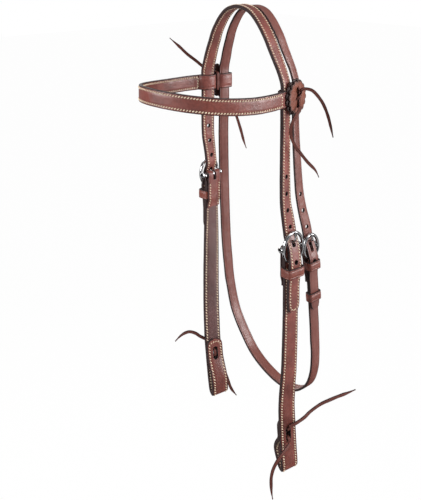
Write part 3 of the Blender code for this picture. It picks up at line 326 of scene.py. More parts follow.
class Graph:
    """Short way to add and link the nodes of one material or world."""

    def __init__(self, owner):
        owner.use_nodes = True
        self.owner = owner
        self.tree = owner.node_tree
        self.shader = self.tree.nodes.get("Principled BSDF") or self.tree.nodes["Background"]

    def add(self, kind, inputs=None, **settings):
        node = self.tree.nodes.new(kind)
        for key, value in settings.items():
            setattr(node, key, value)
        for key, value in (inputs or {}).items():
            self.set(node.inputs[key], value)
        return node

    def set(self, socket, value):
        if isinstance(value, bpy.types.NodeSocket):
            self.tree.links.new(value, socket)
        else:
            socket.default_value = value

    def noise(self, scale, detail, vector):
        inputs = {"Scale": scale, "Detail": detail, "Roughness": 0.55, "Vector": vector}
        return self.add("ShaderNodeTexNoise", inputs).outputs["Fac"]

    def cloud(self, scale, detail, vector, low, high, to_low=0.0, to_high=1.0):
        """Noise of one scale, stretched from a range of its values onto another."""
        return self.span(self.noise(scale, detail, vector), low, high, to_low, to_high)

    def span(self, value, low, high, to_low=0.0, to_high=1.0):
        """Maps a range of values onto another, clamped."""
        inputs = {"Value": value, "From Min": low, "From Max": high, "To Min": to_low, "To Max": to_high}
        return self.add("ShaderNodeMapRange", inputs).outputs["Result"]

    def mix(self, factor, *colours):
        """Mixes two colours, each a socket or a plain (red, green, blue)."""
        node = self.add("ShaderNodeMix", data_type="RGBA", blend_type="MIX")
        self.set(node.inputs[0], factor)
        for place, colour in zip((6, 7), colours):
            self.set(node.inputs[place], (*colour, 1.0) if isinstance(colour, tuple) else colour)
        return node.outputs[2]

    def math(self, operation, *values):
        node = self.add("ShaderNodeMath", operation=operation)
        for socket, value in zip(node.inputs, values):
            self.set(socket, value)
        return node.outputs[0]

    def bump(self, height, strength, distance, under=None):
        node = self.add("ShaderNodeBump", {"Height": height, "Strength": strength, "Distance": distance})
        if under is not None:
            self.set(node.inputs["Normal"], under)
        return node.outputs["Normal"]

    def source(self, kind, output, **settings):
        return self.add(f"ShaderNode{kind}", **settings).outputs[output]

    def seen_directly(self):
        """1 for camera rays, else 0."""
        return self.source("LightPath", "Is Camera Ray")

    def done(self, **inputs):
        for key, value in inputs.items():
            self.set(self.shader.inputs[key.replace("_", " ")], value)
        return self.owner


def leather(name, light, dark, edge, rough=(0.34, 0.50), grain=1.0, specular=0.8, lining_and_shade=None):
    """Oiled leather: mottled colour, fine pores, pull-up streaks and dark edges, the burnished edge deepened as
    painted shade; an optional tint on one face is partly the flesh side and partly painted shade.
    """
    g = Graph(bpy.data.materials.new(name))
    place = g.source("TexCoord", "Object")
    along = g.source("Attribute", "Vector", attribute_name="lay")
    edges = g.source("Attribute", "Fac", attribute_name="edge")
    cloudy = g.cloud(38.0, 3.0, place, 0.32, 0.68)
    mottled = g.cloud(420.0, 4.0, place, 0.35, 0.70)
    stretch = g.add("ShaderNodeMapping", {"Vector": along, "Scale": (60.0, 900.0, 900.0)}).outputs["Vector"]
    streaks = g.cloud(1.0, 3.0, stretch, 0.38, 0.66)
    # The inner face gets a darker, greyer tint: partly the flesh side's own tone, partly painted shade.
    if lining_and_shade is not None:
        side, tint = lining_and_shade
        through = g.add("ShaderNodeSeparateXYZ", {"Vector": along}).outputs["Z"]
        inside = g.span(through, 0.0, side * 0.0004)
        light = g.mix(inside, tint, light)
        dark = g.mix(inside, tuple(0.55 * value for value in tint), dark)
    tone = g.mix(g.math("MULTIPLY", cloudy, 0.70), light, dark)
    tone = g.mix(g.math("MULTIPLY", mottled, 0.42), tone, dark)
    tone = g.mix(g.math("MULTIPLY", streaks, 0.22), tone, light)
    # Painted shade with the burnish: the edge mask, made uneven by noise, darkens the rounded edges, the stitch
    # grooves and the strip beside them towards the edge colour.
    wobble = g.cloud(260.0, 2.0, place, 0.3, 0.7, -0.18, 0.18)
    burnish_and_shade = g.span(g.math("ADD", edges, wobble), 0.18, 0.70)
    tone = g.mix(burnish_and_shade, tone, edge)
    pores = g.add("ShaderNodeTexVoronoi", {"Vector": place, "Scale": 1500.0}, feature="DISTANCE_TO_EDGE")
    pores = g.span(pores.outputs["Distance"], 0.0, 0.28)
    normal = g.bump(g.noise(62.0, 2.0, place), 0.30 * grain, 0.0030)
    normal = g.bump(g.noise(210.0, 3.0, place), 0.30 * grain, 0.0008, normal)
    normal = g.bump(pores, 0.16 * grain, 0.00018, normal)
    normal = g.bump(g.noise(2600.0, 3.0, place), 0.12 * grain, 0.00012, normal)
    roughness = g.cloud(130.0, 4.0, place, 0.35, 0.65, *rough)
    roughness = g.math("MAXIMUM", roughness, g.span(burnish_and_shade, 0.0, 1.0, 0.0, 0.85))
    return g.done(Base_Color=tone, Roughness=roughness, Normal=normal, Specular_IOR_Level=specular)


def thread_material():
    """Waxed cream thread, darkened as painted shade where each stitch goes down into its hole."""
    g = Graph(bpy.data.materials.new("thread"))
    place = g.source("TexCoord", "Object")
    dip_shade = g.source("Attribute", "Fac", attribute_name="edge")
    tone = g.mix(g.cloud(500.0, 2.0, place, 0.35, 0.65), (0.88, 0.74, 0.55), (0.70, 0.52, 0.36))
    tone = g.mix(g.span(dip_shade, 0.45, 1.0), tone, (0.20, 0.10, 0.06))
    twist = g.add("ShaderNodeTexWave", {"Vector": place, "Scale": 700.0, "Distortion": 2.0})
    return g.done(Base_Color=tone, Roughness=0.62, Normal=g.bump(twist.outputs["Fac"], 0.3, 0.0001))


def steel_material():
    """Polished cast stainless steel with faint wipe marks."""
    g = Graph(bpy.data.materials.new("steel"))
    place = g.source("TexCoord", "Object")
    cast = g.noise(260.0, 3.0, place)
    tone = g.mix(g.span(cast, 0.3, 0.7), (0.70, 0.70, 0.71), (0.52, 0.52, 0.54))
    roughness = g.cloud(1800.0, 4.0, place, 0.3, 0.7, 0.08, 0.20)
    return g.done(Base_Color=tone, Metallic=1.0, Roughness=roughness, Normal=g.bump(cast, 0.12, 0.0006))


# Edge colour: the burnished edges' own dark tone, deepened as painted shade.
BURNISH_AND_SHADE = (0.022, 0.0040, 0.0034)
CHESTNUT = ((0.300, 0.082, 0.062), (0.085, 0.018, 0.015), BURNISH_AND_SHADE)
# Tint of the cheeks' inner faces: partly the flesh side's own tone, partly painted shade.
LINING_AND_SHADE = (0.165, 0.078, 0.074)
FINISH = {
    "leather": leather("leather", *CHESTNUT),
    "cheek_near": leather("cheek_near_leather", *CHESTNUT, lining_and_shade=(1, LINING_AND_SHADE)),
    "cheek_off": leather("cheek_off_leather", *CHESTNUT, lining_and_shade=(-1, LINING_AND_SHADE)),
    "dark_leather": leather("dark_leather", (0.060, 0.018, 0.014), (0.028, 0.008, 0.006), BURNISH_AND_SHADE),
    "plain_leather": leather("plain_leather", (0.245, 0.080, 0.062), (0.145, 0.042, 0.033), BURNISH_AND_SHADE),
    "keeper_leather": leather("keeper_leather", (0.270, 0.070, 0.046), (0.110, 0.024, 0.018), BURNISH_AND_SHADE),
    "disc_leather": leather("disc_leather", (0.290, 0.082, 0.046), (0.150, 0.040, 0.024), (0.04, 0.011, 0.007)),
    "lace": leather("lace", (0.175, 0.055, 0.042), (0.085, 0.025, 0.020), BURNISH_AND_SHADE, (0.40, 0.56), 0.8, 0.3),
    "thread": thread_material(),
    "steel": steel_material(),
}


class Skin:
    """Collects the points and faces of one piece, with an edge shade and a place along the strap."""

    def __init__(self):
        self.points, self.faces, self.edges, self.lays = [], [], [], []

    def tube(self, rings, closed=False, shades=None, lays=None):
        """Adds rings of points, joined in order. The last meets the first, or both ends are capped."""
        made = []
        for k, ring in enumerate(rings):
            start = len(self.points)
            self.points += ring
            self.edges += shades[k] if shades else [0.0] * len(ring)
            self.lays += lays[k] if lays else [(0.0, 0.0, 0.0)] * len(ring)
            made.append(range(start, len(self.points)))
        for one, two in zip(made, made[1:] + made[:1] if closed else made[1:]):
            for k in range(len(one)):
                m = (k + 1) % len(one)
                self.faces.append((one[k], one[m], two[m], two[k]))
        if not closed:
            self.faces += [tuple(made[0]), tuple(made[-1])]
        return self

    def object(self, name, finish, sharp=radians(50)):
        mesh = bpy.data.meshes.new(name)
        mesh.from_pydata(self.points, [], self.faces)
        mesh.attributes.new("edge", "FLOAT", "POINT").data.foreach_set("value", self.edges)
        lay = mesh.attributes.new("lay", "FLOAT_VECTOR", "POINT")
        lay.data.foreach_set("vector", [value for point in self.lays for value in point])
        work = bmesh.new()
        work.from_mesh(mesh)
        bmesh.ops.recalc_face_normals(work, faces=work.faces)
        work.to_mesh(mesh)
        work.free()
        mesh.shade_smooth()
        mesh.set_sharp_from_angle(angle=sharp)
        mesh.materials.append(FINISH[finish])
        item = add_object(name, mesh)
        return item


def place_piece(item, body, *nodes):
    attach(item, body)
    if nodes:
        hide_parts(*nodes)
    return item


def join(item, operation, finish, *skins, overlapping=False):
    """Cuts closed shapes out of a piece or adds them to it, and keeps the result as its mesh."""
    tools = []
    for skin in skins:
        tool = skin.object(f"{item.name}_tool", finish)
        change = item.modifiers.new("join", "BOOLEAN")
        change.operation = operation
        change.solver = "EXACT"
        change.use_self = overlapping
        change.object = tool
        tools.append(tool)
    bpy.context.view_layer.update()
    seen = item.evaluated_get(bpy.context.evaluated_depsgraph_get())
    mesh = bpy.data.meshes.new_from_object(seen)
    item.modifiers.clear()
    item.data = mesh
    for tool in tools:
        bpy.data.objects.remove(tool, do_unlink=True)


def cut(item, *skins, overlapping=False):
    join(item, "DIFFERENCE", "leather", *skins, overlapping=overlapping)


def turns(count, start=0.0, end=2 * pi):
    """Evenly spaced angles from start up to end, without end."""
    return [start + (end - start) * k / count for k in range(count)]


def quarter(steps):
    """Angles of a quarter turn in even steps, both ends included."""
    return [0.5 * pi * k / steps for k in range(steps + 1)]


def hermite(t, start, leave, end, arrive):
    """Values on a smooth curve between two places; leave and arrive are its slopes times the span."""
    h00 = 2 * t ** 3 - 3 * t ** 2 + 1
    h10 = t ** 3 - 2 * t ** 2 + t
    h01 = 3 * t ** 2 - 2 * t ** 3
    h11 = t ** 3 - t ** 2
    return [h00 * a + h10 * m + h01 * b + h11 * n for a, m, b, n in zip(start, leave, end, arrive)]


def spline(knots, place):
    """Reads a smooth curve through knots (place, value, value, ...) sorted by falling place."""
    last = len(knots) - 1
    index = min(max(bisect_right([-knot[0] for knot in knots], -place) - 1, 0), last - 1)

    def slope(at, span=1.0):
        low, high = knots[max(at - 1, 0)], knots[min(at + 1, last)]
        return [span * (b - a) / (high[0] - low[0]) for a, b in zip(low[1:], high[1:])]

    start, end = knots[index], knots[index + 1]
    length = end[0] - start[0]
    t = (place - start[0]) / length
    if 0 <= t <= 1:
        return hermite(t, start[1:], slope(index, length), end[1:], slope(index + 1, length))
    edge, lean = (start, slope(index)) if t < 0 else (end, slope(index + 1))
    return [value + rate * (place - edge[0]) for value, rate in zip(edge[1:], lean)]


class Line:
    """The centre line of the straps on one side, and the layers at its buckle."""

    def __init__(self, side, knots, bar_z, stack):
        self.side, self.knots, self.bar_z, self.stack = side, knots, bar_z, stack

    def centre(self, z):
        x, y, _ = spline(self.knots, z)
        return Vector((self.side * x, y, z))

    def axes(self, z):
        """Directions to the rear, outward and down along the strap."""
        turn = spline(self.knots, z)[2]
        down = (self.centre(z - GAP) - self.centre(z + GAP)).normalized()
        across = Vector((-self.side * sin(turn), cos(turn), 0.0))
        across = (across - down * across.dot(down)).normalized()
        out = down.cross(across) * self.side
        return across, out.normalized(), down

    def place(self, u, s, z):
        across, out, _ = self.axes(z)
        return self.centre(z) + across * u + out * s

    def billet(self, z):
        """Outward place of the billet at height z."""
        return self.stack.billet_at(z - self.bar_z)

    def station(self, s, z, width, thickness):
        return self.place(0.0, s, z), self.axes(z)[0], width, thickness

    def rigid(self, z, u=0.0):
        """Matrix of a flat piece at height z: x across to the rear, y outward, z up."""
        across, out, down = self.axes(z)
        made = Matrix((across, out, -down)).transposed().to_4x4()
        made.translation = self.place(u, 0.0, z)
        return made


def direction(matrix, *vector):
    """A direction of a piece's own axes, in the scene."""
    return (matrix.to_3x3() @ Vector(vector)).normalized()


def smooth(rows, step):
    """Rows (x, y, z, more values...) on a smooth curve through the given rows, about a step apart."""
    kept = [rows[0]]
    for row in rows[1:]:
        if dist(row[:3], kept[-1][:3]) > 0.05 * STEP:
            kept.append(row)
    spans = [dist(a[:3], b[:3]) for a, b in zip(kept, kept[1:])]
    rates = [[(b - a) / span for a, b in zip(one, two)] for one, two, span in zip(kept, kept[1:], spans)]
    slopes = [rates[0]]
    for before, after, one, two in zip(spans, spans[1:], rates, rates[1:]):
        slopes.append([(after * a + before * b) / (before + after) for a, b in zip(one, two)])
    slopes.append(rates[-1])
    made = []
    for k, span in enumerate(spans):
        leave, arrive = ([span * value for value in slope] for slope in slopes[k:k + 2])
        count = max(1, round(span / step))
        made += [hermite(j / count, kept[k], leave, kept[k + 1], arrive) for j in range(count)]
    return made + [list(kept[-1])]


class Ribbon:
    """A strap's path. Stations are (centre, sideways direction, width, thickness)."""

    def __init__(self, stations, step=STEP, closed=False):
        rows = [(*centre, *side, width, thickness) for centre, side, width, thickness in stations]
        rows = smooth(rows + rows[:1], step)[:-1] if closed else smooth(rows, step)
        self.closed = closed
        self.centres = [Vector(row[:3]) for row in rows]
        self.widths = [row[6] for row in rows]
        self.thicknesses = [row[7] for row in rows]
        self.sides, self.throughs = [], []
        count = len(rows)
        for k, row in enumerate(rows):
            before = self.centres[(k - 1) % count if closed else max(k - 1, 0)]
            after = self.centres[(k + 1) % count if closed else min(k + 1, count - 1)]
            along = (after - before).normalized()
            side = Vector(row[3:6])
            side = (side - along * side.dot(along)).normalized()
            self.sides.append(side)
            self.throughs.append(along.cross(side))
        self.marks = marks_along(self.centres)
        self.length = self.marks[-1]

    def point(self, distance, u, face):
        """Point at a sideways place on a face (1 or -1), and that face's normal there."""
        k = min(max(bisect_right(self.marks, distance) - 1, 0), len(self.marks) - 2)
        share = min(max((distance - self.marks[k]) / (self.marks[k + 1] - self.marks[k]), 0.0), 1.0)
        centre, side, through = (
            values[k].lerp(values[k + 1], share) for values in (self.centres, self.sides, self.throughs))
        through.normalize()
        thick = self.thicknesses[k] + (self.thicknesses[k + 1] - self.thicknesses[k]) * share
        return centre + side * u + through * (face * 0.5 * thick), through * face

    def mark(self, point):
        """Distance along the strap of the station nearest to a point."""
        spans = [(centre - point).length for centre in self.centres]
        return self.marks[spans.index(min(spans))]

    def marks_at(self, line, *places):
        """Distances along the strap of places given as (outward, below the line's bar)."""
        return [self.mark(line.place(0.0, s, line.bar_z - drop)) for s, drop in places]

    def row(self, face, path):
        """Points and normals of a stitch row given as (distance, sideways) corners."""
        made = []
        for (d0, u0), (d1, u1) in zip(path, path[1:]):
            count = max(1, round(max(abs(d1 - d0), abs(u1 - u0)) / ROW_STEP))
            for share in (k / count for k in range(count)):
                made.append(self.point(d0 + (d1 - d0) * share, u0 + (u1 - u0) * share, face))
        return made + [self.point(*path[-1], face)]

    def skin(self, outline, waver=WAVER):
        """Closed skin; outline(width, thickness) gives (sideways, through, edge shade) points."""
        rings, shades, lays = [], [], []
        for k, centre in enumerate(self.centres):
            section = outline(self.widths[k], self.thicknesses[k])
            ring = []
            for u, t, _ in section:
                point = centre + self.sides[k] * u + self.throughs[k] * t
                shift = noise.noise(point * ACROSS_NOISE) * waver
                side = self.sides[k] * (shift if u > 0 else -shift)
                ring.append(point + side + self.throughs[k] * noise.noise(point * THROUGH_NOISE) * waver)
            rings.append(ring)
            shades.append([shade for _, _, shade in section])
            lays.append([(self.marks[k], u, t) for u, t, _ in section])
        return Skin().tube(rings, self.closed, shades, lays)


def marks_along(points):
    """Distance of each point along the line through them all."""
    marks = [0.0]
    for a, b in zip(points, points[1:]):
        marks.append(marks[-1] + (b - a).length)
    return marks


def strap_outline(plies=2, inset=GROOVE_INSET, corner=CORNER):
    """Cross-section of a strap with rounded edges, stitch grooves and the line between its plies."""

    def outline(width, thickness):
        w, t = 0.5 * width, 0.5 * thickness
        r = min(corner, 0.8 * t, 0.6 * w)
        room = min(1.0, max(0.0, (w - inset - GROOVE_HALF) / GROOVE_INSET))
        groove, half = (w - inset, GROOVE_HALF) if room > 0 else (0.55 * w, 0.2 * w)
        depth = GROOVE_DEPTH * room
        dome = DOME * min(1.0, w / inset)
        # The third value feeds the edge mask: painted shade in and beside the stitch groove, and on the rounded edge
        # the burnished tone deepened as painted shade.
        upper = [
            (0.0, t + dome, 0.0),
            (0.5 * (groove - half), t + 0.9 * dome, 0.0),
            (groove - half, t + 0.5 * dome, 0.0),
            (groove - 0.4 * half, t + 0.4 * dome - depth, 0.10),
            (groove + 0.4 * half, t + 0.4 * dome - depth, 0.12),
            (groove + half, t + 0.2 * dome, 0.10),
            (0.5 * (groove + half + w - r), t, 0.22),
            (w - r, t, 0.45),
        ]
        for k, a in enumerate(quarter(3)[1:], 1):
            upper.append((w - r + r * sin(a), t - r + r * cos(a), 0.6 + 0.13 * k))
        edge = []
        if plies == 2:
            edge = [(w, 0.14 * thickness, 0.95), (w - SEAM_DEPTH * room, 0.0, 1.0), (w, -0.14 * thickness, 0.95)]
        right = upper + edge + [(u, -v, shade) for u, v, shade in reversed(upper)]
        return right + [(-u, -v, shade) for u, v, shade in right[1:-1]]

    return outline


# A stitch from hole to hole as (share of its length, height and size in thread radii, shade); the shade is painted
# shade where the thread goes down into a hole
STITCH_HALF = ((-0.5, -1.9, 0.55, 1.0), (-0.40, -0.5, 0.9, 0.7), (-0.18, 0.35, 1.0, 0.1))
STITCH = STITCH_HALF + tuple((-share, *rest) for share, *rest in reversed(STITCH_HALF))


def sew(name, body, rows):
    """One piece with the slanted saddle stitches along rows of (point, normal)."""
    thread = Skin()
    for row in rows:
        travelled, wanted = 0.0, 0.5 * STITCH_PITCH
        for (a, normal), (b, _) in zip(row, row[1:]):
            span = (b - a).length
            while span > 0 and wanted <= travelled + span:
                add_stitch(thread, a.lerp(b, (wanted - travelled) / span), (b - a).normalized(), normal)
                wanted += STITCH_PITCH
            travelled += span
    place_piece(thread.object(f"{name}_stitching", "thread"), body)


def add_stitch(skin, middle, along, normal):
    side = normal.cross(along).normalized()
    slant = along * cos(STITCH_SLANT) + side * sin(STITCH_SLANT)
    wide = normal.cross(slant).normalized()
    rings = []
    for share, lift, size, _ in STITCH:
        centre = middle + slant * (share * STITCH_LENGTH) + normal * (lift * STITCH_RADIUS + LIFT - GROOVE_DEPTH)
        radius = STITCH_RADIUS * size
        rings.append([centre + wide * (radius * cos(a)) + normal * (radius * 0.8 * sin(a)) for a in turns(6)])
    skin.tube(rings, shades=[[shade] * 6 for _, _, _, shade in STITCH])


def run(start, end, step):
    """Values from start to end, both included, about one step apart."""
    count = max(1, round(abs(end - start) / step))
    return [start + (end - start) * k / count for k in range(count + 1)]


def arc(centre_s, centre_z, radius, start, end, steps):
    """Points (outward, height) on an arc; angle 0 points outward, a quarter turn points up."""
    turns = [start + (end - start) * k / steps for k in range(steps + 1)]
    return [(centre_s + radius * cos(t), centre_z + radius * sin(t)) for t in turns]


def tip_widths(width, length):
    """Distances from the tip and widths of a rounded point."""
    return [(length * (1 - cos(a)), width * max(0.20, sin(a) ** 0.5)) for a in quarter(14)]


class Stack:
    """Layers at a buckle, measured outward from the middle of the sewn strap."""

    def __init__(self, width, billet, wrap, arch, lower):
        self.width, self.billet, self.wrap, self.arch, self.lower = width, billet, wrap, arch, lower
        self.face = 0.5 * billet
        self.wrap_radius = BAR_RADIUS + GAP + 0.5 * wrap
        self.bar_s = self.face - 0.5 * wrap - self.wrap_radius
        self.lower_s = self.face + FRAME_PLAY + 0.5 * LOWER_DEPTH
        self.arch_s = self.lower_s - 0.5 * LOWER_DEPTH + 0.5 * ARCH_DEPTH
        self.fold_back = -self.face - GAP - 0.5 * wrap
        self.fold_over_keeper = self.fold_back - KEEPER_PLY - GAP
        at_arch = self.arch_s - 0.5 * ARCH_DEPTH - FRAME_PLAY - 0.5 * billet
        at_bar = self.face + GAP + 0.5 * billet
        at_lower = self.lower_s + 0.5 * LOWER_DEPTH + FRAME_PLAY + 0.5 * billet
        self.billet_knots = (
            (2.6 * arch, 0.0), (1.6 * arch, 0.5 * at_arch), (1.1 * arch, at_arch), (0.74 * arch, at_arch),
            (0.1 * arch, at_bar + 0.5 * GAP), (-0.8 * lower, at_lower - GAP), (-lower, at_lower + GAP),
            (-1.3 * lower, at_lower - GAP), (-2.6 * lower, at_bar + GAP),
            (-3.4 * lower, at_bar), (-5.0 * lower, at_bar),
        )

    def billet_at(self, height):
        """Outward place of the billet at a height above the bar."""
        return 0.0 if height > 2.6 * self.arch else spline(self.billet_knots, height)[0]


CHEEK_STACK = Stack(CHEEK_WIDTH, DOUBLED, PLY, CHEEK_ARCH, CHEEK_LOWER)
THROAT_STACK = Stack(THROAT_WIDTH, THROAT_PLY, THROAT_PLY, THROAT_ARCH, THROAT_LOWER)


def side_line(side, bar_z, drop):
    upper = [(z, CROWN_X, CROWN_Y, BAND_TURN) for z in (0.5 * BAND_Z, BAND_Z, BAND_Z - 1.5 * BAND_HEIGHT)]
    upper.append((bar_z + 3 * CHEEK_ARCH, CROWN_X, CROWN_Y, 0.6 * BAND_TURN))
    upper.append((bar_z + 1.5 * CHEEK_ARCH, 0.5 * (CROWN_X + CHEEK_X), CHEEK_Y - 0.6 * DOUBLED, BAR_TURN))
    for height in (0.5 * CHEEK_ARCH, -1.2 * CHEEK_LOWER, -2.4 * CHEEK_LOWER):
        upper.append((bar_z + height, CHEEK_X, CHEEK_Y, BAR_TURN))
    lower = [(bar_z - knot[0] * CHEEK_LENGTH / drop[-1][0], *knot[1:]) for knot in drop]
    return Line(side, upper + lower, bar_z, CHEEK_STACK)


def throat_line(side, crown_line, knots, from_z):
    x, y, _ = crown_line.place(THROAT_SPACING, 0.0, BAND_Z)
    upper = [(z, abs(x), y, BAND_TURN) for z in (0.5 * BAND_Z, BAND_Z, BAND_Z - 1.5 * BAND_HEIGHT)]
    lower = [(from_z + knot[0], *knot[1:]) for knot in knots]
    return Line(side, upper + lower, from_z, THROAT_STACK)


def billet_stations(line, past_bar, width):
    """Stations of a punched strap end, from its tip up to the foot of the arch."""
    places = [(line.bar_z - past_bar + distance, wide) for distance, wide in tip_widths(width, TIP_LENGTH)]
    fine = run(places[-1][0], line.bar_z + 1.7 * line.stack.arch, 0.25 * line.stack.lower)
    coarse = run(fine[-1], ARCH_FOOT, COARSE_STEP)
    places += [(z, width) for z in fine[1:] + coarse[1:]]
    return [line.station(line.billet(z), z, wide, line.stack.billet) for z, wide in places]


def arch_stations(lines, width, thickness, lean_y):
    """Over the poll: from the near line at the browband to the off line."""
    top_z = 0.5 * thickness
    shares = list(zip(ARCH_OUT_SHARES, ARCH_DOWN_SHARES))
    stations = []
    for line, order in zip(lines, (shares[::-1], shares[1:])):
        foot, across = line.centre(ARCH_FOOT), line.axes(ARCH_FOOT)[0]
        for out_share, down_share in order:
            turned = min(1.0, down_share / 0.9) ** 2
            centre = Vector((foot.x * out_share, lean_y + (foot.y - lean_y) * turned,
                             top_z + (ARCH_FOOT - top_z) * down_share))
            stations.append((centre, REAR.lerp(across, turned).normalized(), width, thickness))
    return stations


def holes(line, past_bar, count):
    """Punched holes as (centre, punch direction, lengthening direction, length)."""
    in_use = line.bar_z + TONGUE_HOLE
    below = round((TONGUE_HOLE + past_bar - TIP_TO_HOLE) / HOLE_PITCH)
    places = []
    for index in range(count):
        z = in_use + (index - below) * HOLE_PITCH
        across, out, down = line.axes(z)
        slope = (line.billet(z + GAP) - line.billet(z - GAP)) / (2 * GAP)
        stretch = (out * slope - down).normalized()
        punch = stretch.cross(across).normalized()
        length = TONGUE_HOLE_LENGTH if index == below else 2 * HOLE_RADIUS
        places.append((line.place(0.0, line.billet(z), z), punch, stretch, length))
    return places


def hole_loop(place, radius):
    """Outline of a punched hole about its centre, with the outward direction of each point."""
    _, punch, stretch, length = place
    side = punch.cross(stretch).normalized()
    extra = 0.5 * length - radius
    made = []
    for a in turns(24, pi / 24, 2 * pi + pi / 24):
        outward = side * cos(a) + stretch * sin(a)
        made.append((outward * radius + stretch * (extra if sin(a) > 0 else -extra), outward))
    return made


def punch_skins(places, radius=HOLE_RADIUS):
    made = Skin()
    for place in places:
        loop = hole_loop(place, radius)
        reach = place[1] * (CUT_PAST + DOUBLED)
        made.tube([[place[0] + point + reach * way for point, _ in loop] for way in (-1, 1)])
    return made


# Section of the dark sleeve in a punched hole, painted shade, as (depth in thicknesses, distance outside the hole)
HOLE_LINING = (
    (-0.5, 0.00055), (-0.56, 0.00028), (-0.5, -0.0001), (-0.3, -0.0002), (0.3, -0.0002),
    (0.5, -0.0001), (0.56, 0.00028), (0.5, 0.00055), (0.3, 0.0003), (-0.3, 0.0003),
)


def shaded_hole_sleeves(name, places, thickness, radius=HOLE_RADIUS):
    """Dark sleeve in the punched holes, with a rolled lip on both faces: painted shade inside each hole and round its
    mouth.
    """
    made = Skin()
    for place in places:
        rings = []
        for depth, grow in HOLE_LINING:
            middle = place[0] + place[1] * (depth * thickness)
            rings.append([middle + point + outward * grow for point, outward in hole_loop(place, radius)])
        made.tube(rings, True, [[0.9] * len(ring) for ring in rings])
    place_piece(made.object(name, "dark_leather"), "headstall")


def box_skin(matrix, low, high):
    corners = ((low[0], low[2]), (high[0], low[2]), (high[0], high[2]), (low[0], high[2]))
    return Skin().tube([[matrix @ Vector((u, s, z)) for u, z in corners] for s in (low[1], high[1])])


def make_crown(lines):
    near, off = (billet_stations(line, CROWN_PAST_BAR, CROWN_WIDTH)[:-1] for line in lines)
    ribbon = Ribbon(near + arch_stations(lines, CROWN_WIDTH, DOUBLED, ARCH_LEAN) + off[::-1])
    crown = ribbon.skin(strap_outline()).object("crown_leather", "leather")
    places = [place for line in lines for place in holes(line, CROWN_PAST_BAR, CROWN_HOLES)]
    cut(crown, punch_skins(places))
    place_piece(crown, "headstall", "crown_strap")
    shaded_hole_sleeves("crown_hole_shading", places, DOUBLED)
    bend = end_bend(CROWN_WIDTH, TIP_LENGTH)
    path = bend + [(ribbon.length - d, v) for d, v in reversed(bend)]
    path += [(d, -v) for d, v in reversed(path)]
    sew("crown", "headstall", [ribbon.row(face, path) for face in (-1, 1)])


def end_bend(width, reach):
    """Corners of a stitch row at a strap's end, from its middle to an edge: (distance from the end, sideways)."""
    u = 0.5 * width - GROOVE_INSET
    return [(GROOVE_INSET + (reach - GROOVE_INSET) * (1 - cos(a)), u * sin(a) ** 0.75) for a in quarter(8)]


def fold_path(line, fold_back, keeper_drop):
    """Sewn end, from its tip below the bar on the inner side, round the bar to the outer side."""
    stack, bar_z = line.stack, line.bar_z
    keeper_z = bar_z - keeper_drop
    under = [
        (stack.fold_back, bar_z - fold_back),
        (stack.fold_back, keeper_z - 1.15 * KEEPER_HEIGHT),
        (stack.fold_over_keeper, keeper_z - 0.60 * KEEPER_HEIGHT),
        (stack.fold_over_keeper, keeper_z),
        (stack.fold_over_keeper, keeper_z + 0.60 * KEEPER_HEIGHT),
        (stack.bar_s - stack.wrap_radius, bar_z - stack.wrap_radius),
    ]
    return under + arc(stack.bar_s, bar_z, stack.wrap_radius, pi, 0.0, 10)


def tongue_slot(line):
    stack = line.stack
    half = 0.5 * (TONGUE_WIDTH + 2 * TONGUE_SLOT_CLEARANCE)
    deep = stack.wrap_radius + stack.wrap + CUT_PAST
    low = (-half, stack.bar_s - deep, -2.2 * stack.wrap_radius)
    return box_skin(line.rigid(line.bar_z), low, (half, stack.bar_s + deep, deep))


def cheek_stations(line, gap):
    stack, bottom = line.stack, line.bar_z - CHEEK_LENGTH
    path = [(s, z, stack.wrap) for s, z in fold_path(line, FOLD_BACK, CHEEK_KEEPER_DROP)]
    path.append((stack.face - 0.5 * stack.wrap, line.bar_z - 1.6 * stack.wrap_radius, stack.wrap))
    loop_radius = 0.5 * (LOOP_BOTTOM_GAP + DOUBLED)
    turn_z = bottom + loop_radius + 0.5 * DOUBLED
    path += [(0.0, z, DOUBLED) for z in run(line.bar_z - 2.6 * stack.wrap_radius, turn_z, COARSE_STEP)]
    path += [(s, z, DOUBLED) for s, z in arc(-loop_radius, turn_z, loop_radius, 0.0, -pi, 12)[1:]]
    wide_s = -(gap + DOUBLED)
    closed_s = -(DOUBLED + GAP)
    for share, middle, weight in LOOP_SHARES:
        side_s = -2 * loop_radius if middle < 0 else closed_s
        path.append((wide_s + (side_s - wide_s) * weight, turn_z + share * LOOP_CLOSED, DOUBLED))
    path.append((closed_s, bottom + TIE_HEIGHT, DOUBLED))
    stations = [line.station(s, z, CHEEK_WIDTH, thickness) for s, z, thickness in path]
    for distance, wide in reversed(tip_widths(CHEEK_WIDTH, LOOP_TIP)):
        stations.append(line.station(closed_s, bottom + LOOP_LENGTH - distance, wide, DOUBLED))
    return stations


